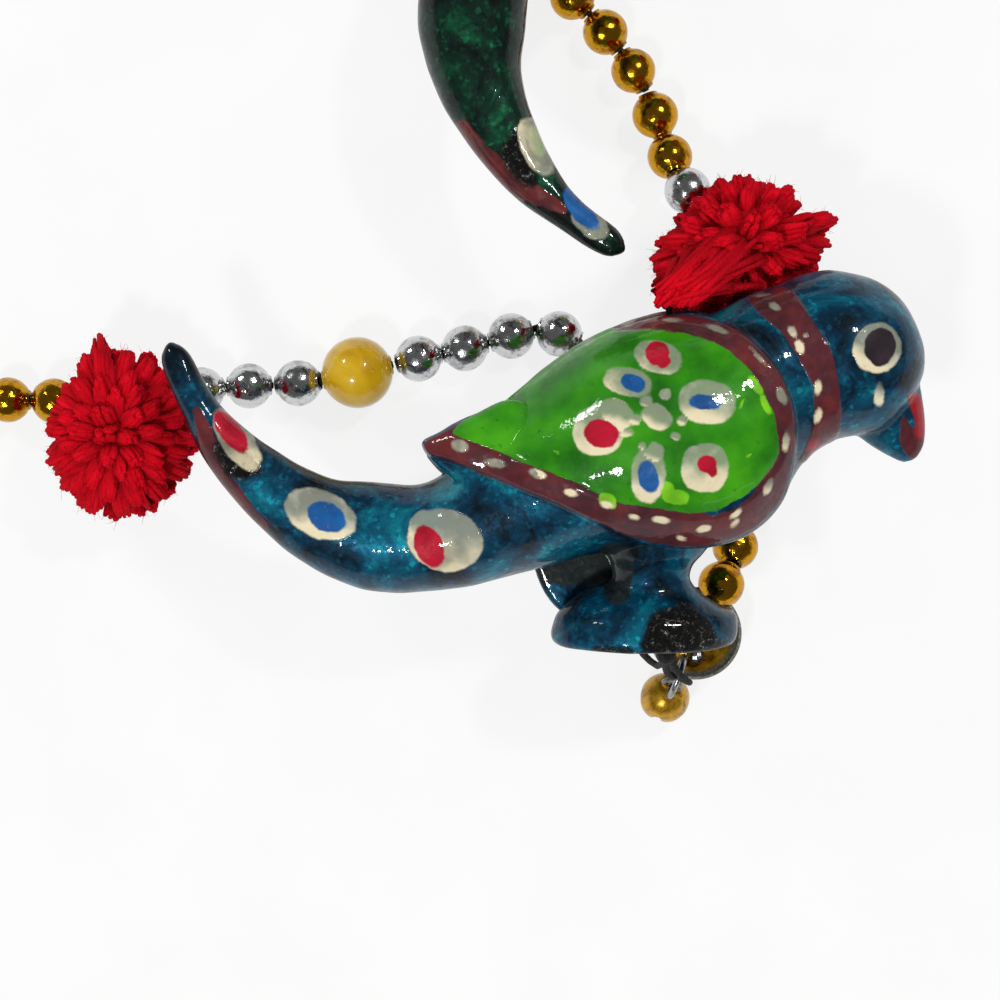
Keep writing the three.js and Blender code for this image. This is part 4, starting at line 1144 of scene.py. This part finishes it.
# Bells and wire, in millimetres; places are measured from the middle of the photograph
bells = {
    "cupAt": (*(photoMiddle + [33.7, -23]), 2.0),
    "cupRadius": 8.0,
    "cupDepth": 6.2,
    "cupWall": 0.42,
    "cupHole": 1.6,
    "cupSteps": ((5.9, 0.25), (3.6, 0.3)),
    "stepHeight": 0.12,
    "jingleRadius": 4.35,
    "jingleWall": 0.42,
    "slit": 0.8,
    "bailRadius": 1.5,
    "bailWire": 0.45,
    "ringAt": (*(photoMiddle + [30.2, -30.1]), 12.6),
    "ringRadius": 3.6,
    "ringWire": 0.55,
    "ringTurn": 249.5,
    "hang": -60.0,
}


def wireLoop(name, centre, first, second, radius, wire, gap=0.0):
    # A round wire bent to a circle: centre + first x cos + second x sin, open by a small gap
    turn = np.linspace(gap / 2, 2 * math.pi - gap / 2, 73)[:, None]
    path = np.asarray(centre) + radius * (np.cos(turn) * first + np.sin(turn) * second)
    sides = 16
    normal = np.cross(first, second)
    angle = np.linspace(0, 2 * math.pi, sides, endpoint=False)
    out = np.cos(turn) * first + np.sin(turn) * second
    ring = out[:, None] * np.cos(angle)[None, :, None] + normal * np.sin(angle)[None, :, None]
    points = (path[:, None] + ring * wire).reshape(-1, 3)
    faces = [gridFaces(73, sides), capFaces(0, sides, True), capFaces(72 * sides, sides, False)]
    return meshObject(name, points, faces)


def fixNormals(thing):
    # Doubles merged, and faces turned outwards
    work = bmesh.new()
    work.from_mesh(thing.data)
    bmesh.ops.remove_doubles(work, verts=work.verts, dist=0.00001)
    bmesh.ops.recalc_face_normals(work, faces=work.faces)
    work.to_mesh(thing.data)
    work.free()
    thing.data.polygons.foreach_set("use_smooth", np.ones(len(thing.data.polygons), dtype=bool))


def ballSurface(name, centre, radius, rows=20, columns=28):
    tilt = np.linspace(-math.pi / 2 + 0.06, math.pi / 2 - 0.06, rows)
    turn = np.linspace(0, 2 * math.pi, columns, endpoint=False)
    rings = np.stack([
        np.cos(tilt)[:, None] * np.cos(turn), np.cos(tilt)[:, None] * np.sin(turn),
        np.broadcast_to(np.sin(tilt)[:, None], (rows, columns)),
    ], axis=-1)
    return loftMesh(name, np.asarray(centre) + rings * radius)


def cupBell():
    # A pressed cup, mouth up: height = depth x (1 - cos a), radius = R sin a, rolled over at the lip
    radius, depth, wall = bells["cupRadius"], bells["cupDepth"], bells["cupWall"]
    rise = np.linspace(math.asin(bells["cupHole"] / radius), math.pi / 2 - 0.06, 26)
    outer = np.stack([depth * (1 - np.cos(rise)), radius * np.sin(rise)], axis=1)
    turn = np.linspace(-0.3, math.pi + 0.3, 10)
    lip = np.stack([depth - 0.28 + 0.28 * np.sin(turn), radius - 0.3 + 0.3 * np.cos(turn)], axis=1)
    inside = depth * (1 - np.cos(rise)) + wall * np.cos(rise)
    inner = np.stack([inside, (radius - wall) * np.sin(rise)], axis=1)[::-1]
    # Two pressed steps inside
    for at, width in bells["cupSteps"]:
        inner[:, 0] += bells["stepHeight"] * np.exp(-(((inner[:, 1] - at) / width) ** 2))
    cup = lathe("cup_bell_shell", np.vstack([outer, lip, inner]), bells["cupAt"], (0, 0, 1), 96)
    fixNormals(cup)
    points = readPoints(cup.data) - np.array(bells["cupAt"])
    level = np.hypot(points[:, 0], points[:, 1])
    setFloat(cup, "tarnish", smoothStep(level, 6.55, 6.9) * smoothStep(points[:, 2], 2.6, 3.4))
    # rim: painted shade in the middle of the cup, round its hole
    setFloat(cup, "rim", smoothStep(-level, -3.2, -1.8))
    return cup


def jingleBell(axis, centre):
    # A ball of four petals that meet above its middle
    # Below it they draw apart by the slit, and their lips curl in
    radius, rows, columns = bells["jingleRadius"], 44, 22
    polar = np.linspace(0.06, math.pi - 0.16, rows)
    opening = smoothStep(polar, 1.46, 1.66)
    across = np.arcsin(np.clip(bells["slit"] / (radius * np.sin(polar)), 0, 0.7)) * opening
    share = np.linspace(0, 1, columns)
    tucked = 1 - 0.05 * (np.abs(2 * share - 1) ** 8)[None, :] * opening[:, None]
    bulge = 1 + 0.012 * np.cos((2 * share - 1) * math.pi)[None, :] * opening[:, None]
    petals, grid = [], gridFaces(rows, columns, False)
    for petal in range(4):
        turn = petal * math.pi / 2 + across[:, None] + share[None, :] * (math.pi / 2 - 2 * across[:, None])
        size = (radius - 0.05) * tucked * bulge
        flat = np.sin(polar)[:, None] * size
        local = np.stack([flat * np.cos(turn), flat * np.sin(turn), np.cos(polar)[:, None] * size], axis=-1)
        petals.append(local.reshape(-1, 3))
    points = np.concatenate(petals)
    # The seam where both halves of the ball were pressed together stands out a little
    away = np.linalg.norm(points, axis=1, keepdims=True)
    points = points * (1 + 0.014 * np.exp(-((points[:, 2:3] - 0.15) / 0.16) ** 2))
    up, first, second = sideAxes(axis)
    turned = points[:, 0:1] * first + points[:, 1:2] * second + points[:, 2:3] * up + np.asarray(centre)
    faces = np.concatenate([grid + petal * rows * columns for petal in range(4)])
    bell = meshObject("jingle_bell_shell", turned, faces)
    fixNormals(bell)
    wall = bell.modifiers.new("wall", "SOLIDIFY")
    wall.thickness = bells["jingleWall"] * mm
    wall.offset = -1
    applyModifiers(bell)
    # The bail is soldered on top and closes the crown
    crown = ballSurface("crown", np.asarray(centre) + up * (radius - 0.16), 0.75, 10, 20)
    top = np.asarray(centre) + up * (radius + bells["bailRadius"] - bells["bailWire"])
    bail = wireLoop("bail", top, up, first, bells["bailRadius"], bells["bailWire"])
    bell = joinObjects([bell, crown, bail], "jingle_bell_shell")
    fixNormals(bell)
    place = (readPoints(bell.data) - np.asarray(centre)) @ up
    # rim: painted shade on the underside, away from the bail
    setFloat(bell, "rim", smoothStep(-place, 3.2, 4.0))
    setFloat(bell, "tarnish", smoothStep(place, 4.6, 5.0))
    return bell


def brassMaterial():
    # Lacquered brass: olive gold, brown in its scuffs, dull grey metal where the tarnish layer says
    material, tree, shader = newMaterial("bell_brass", Coat_Weight=0.4, Coat_Roughness=0.08)
    place = objectPlace(tree)
    scuff = noise(tree, place, 380, 5, 0.7, 0.6)
    grain = noise(tree, place, 1600, 3, 0.7)
    tone = ramp(tree, scuff, [(0.32, 120, 80, 6), (0.5, 186, 138, 18), (0.68, 226, 180, 54)])
    tone = tint(tree, tone, colour(70, 44, 6), grain, 0.62, 0.78, 0, 0.6)
    # Painted shade: darker at the jingle bell's underside and in the cup's hollow round its hole
    tone = tint(tree, tone, colour(52, 32, 6), attribute(tree, "rim"), 0.2, 1.0, 0, 0.8)
    grey = ramp(tree, grain, [(0.35, 84, 86, 80), (0.65, 136, 138, 128)])
    tarnish = attribute(tree, "tarnish")
    tone = mix(tree, tarnish, tone, grey)
    tree.links.new(tone, shader.inputs["Base Color"])
    tree.links.new(between(tree, tarnish, 0, 1, 0.7, 0.35), shader.inputs["Metallic"])
    tree.links.new(between(tree, scuff, 0.35, 0.7, 0.26, 0.46), shader.inputs["Roughness"])
    tree.links.new(bump(tree, scuff, 0.0002, 0.5), shader.inputs["Normal"])
    return material


def wireMaterial():
    material, tree, shader = newMaterial("steel_wire_bright", Metallic=1.0)
    place = objectPlace(tree)
    draw = noise(tree, place, 900, 4, 0.7)
    tone = ramp(tree, draw, [(0.35, 96, 98, 100), (0.6, 178, 178, 182)])
    tree.links.new(tone, shader.inputs["Base Color"])
    tree.links.new(between(tree, draw, 0.3, 0.7, 0.18, 0.38), shader.inputs["Roughness"])
    tree.links.new(bump(tree, draw, 0.00003, 0.4), shader.inputs["Normal"])
    return material


def stringMaterial():
    # Waxed black thread: dull, with a fine twist of fibres
    material, tree, shader = newMaterial("black_thread", Roughness=0.8, Sheen_Weight=0.1)
    shader.inputs["Specular IOR Level"].default_value = 0.2
    place = objectPlace(tree)
    fibre = noise(tree, place, 2200, 4, 0.75, 1.2)
    tone = ramp(tree, fibre, [(0.3, 6, 6, 7), (0.7, 34, 33, 36)])
    tree.links.new(tone, shader.inputs["Base Color"])
    tree.links.new(bump(tree, fibre, 0.0003, 1.0), shader.inputs["Normal"])
    return material


steelWire = wireMaterial()
blackThread = stringMaterial()
bellBrass = brassMaterial()
turn = math.radians(bells["ringTurn"])
ringWay = np.array([math.cos(turn), math.sin(turn), 0.0])
upright = np.array([0, 0, 1.0])
hangWay = ringWay * math.cos(math.radians(bells["hang"])) + upright * math.sin(math.radians(bells["hang"]))
ringAt = np.array(bells["ringAt"])
hangLength = bells["ringRadius"] + bells["jingleRadius"] + bells["bailRadius"] - bells["bailWire"]
bellAt = ringAt + hangWay * hangLength
keepPiece(wireLoop("jump_ring_wire", ringAt, ringWay, upright, bells["ringRadius"], bells["ringWire"], 0.03),
          "jump_ring", steelWire)
keepPiece(jingleBell(-hangWay, bellAt), "jingle_bell", bellBrass)
keepPiece(cupBell(), "cup_bell", bellBrass)
low, high = (np.array(corner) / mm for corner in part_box("jingle_pellet"))
keepPiece(ballSurface("jingle_pellet_ball", (low + high) / 2, float((high - low).max()) / 2), "jingle_pellet",
          steelWire)
for name, thing in nodes.items():
    if name.startswith("string") or name == "cup_clapper":
        thing.data.materials.clear()
        thing.data.materials.append(blackThread if name.startswith("string") else steelWire)
print("bells, wire and string done")


# Studio: a white sweep that the camera and the reflections see as white, a dim ceiling, and small soft lamps
studio = {
    "floorSize": 4.0,
    "floorTone": (214, 214, 214),
    "fill": 0.5,
    "ceiling": 0.12,
    "lamps": [
        {"name": "key", "at": (-0.25, -0.5, 0.85), "size": 0.1, "watts": 4.4},
        {"name": "second", "at": (0.42, 0.36, 0.8), "size": 0.08, "watts": 3.2},
        {"name": "side", "at": (-0.6, 0.45, 0.55), "size": 0.1, "watts": 1.4},
    ],
}


def addStudio():
    size = studio["floorSize"] / 2 / mm
    corners = np.array([[-size, -size, 0], [size, -size, 0], [size, size, 0], [-size, size, 0]])
    floor = meshObject("floor", corners, np.array([[0, 1, 2, 3]]))
    material = bpy.data.materials.new("pale_floor")
    material.use_nodes = True
    tree = material.node_tree
    tree.nodes.clear()
    ray = addNode(tree, "ShaderNodeLightPath").outputs
    place = objectPlace(tree)
    grain = noise(tree, place, 40, 3, 0.5)
    tone = ramp(tree, grain, [(0.4, colour(*studio["floorTone"])), (0.6, 222, 222, 222)])
    matt = addNode(tree, "ShaderNodeBsdfDiffuse", {"Color": tone})
    white = addNode(tree, "ShaderNodeEmission", {"Color": (1, 1, 1, 1), "Strength": 1.0})
    seen = maths(tree, "MAXIMUM", ray["Is Camera Ray"], ray["Is Glossy Ray"])
    seen = maths(tree, "MAXIMUM", seen, ray["Is Transmission Ray"])
    share = times(tree, seen, 0.82)
    both = addNode(tree, "ShaderNodeMixShader", {0: share, 1: matt.outputs[0], 2: white.outputs[0]})
    addNode(tree, "ShaderNodeOutputMaterial", {"Surface": both.outputs[0]})
    floor.data.materials.append(material)
    for lamp in studio["lamps"]:
        data = bpy.data.lights.new(lamp["name"], "AREA")
        data.energy = lamp["watts"]
        data.size = lamp["size"]
        light = bpy.data.objects.new(lamp["name"], data)
        light.location = lamp["at"]
        towards = Vector((0, -0.06, 0.01)) - light.location
        light.rotation_euler = towards.to_track_quat("-Z", "Y").to_euler()
        bpy.context.scene.collection.objects.link(light)
    world = bpy.data.worlds.new("studio")
    bpy.context.scene.world = world
    world.use_nodes = True
    sky = world.node_tree
    sky.nodes.clear()
    ray = addNode(sky, "ShaderNodeLightPath").outputs
    skyWay = addNode(sky, "ShaderNodeTexCoord").outputs["Generated"]
    way = addNode(sky, "ShaderNodeSeparateXYZ", {"Vector": skyWay}).outputs["Z"]
    seen = between(sky, way, 0.0, 0.22, 1.0, studio["ceiling"])
    mirrored = maths(sky, "MAXIMUM", ray["Is Glossy Ray"], ray["Is Transmission Ray"])
    strength = addNode(sky, "ShaderNodeMix", {0: mirrored, 2: studio["fill"], 3: seen}).outputs[0]
    strength = addNode(sky, "ShaderNodeMix", {0: ray["Is Camera Ray"], 2: strength, 3: 1.0}).outputs[0]
    back = addNode(sky, "ShaderNodeBackground", {"Color": (1, 1, 1, 1), "Strength": strength})
    addNode(sky, "ShaderNodeOutputWorld", {"Surface": back.outputs[0]})


addStudio()
print("studio done")
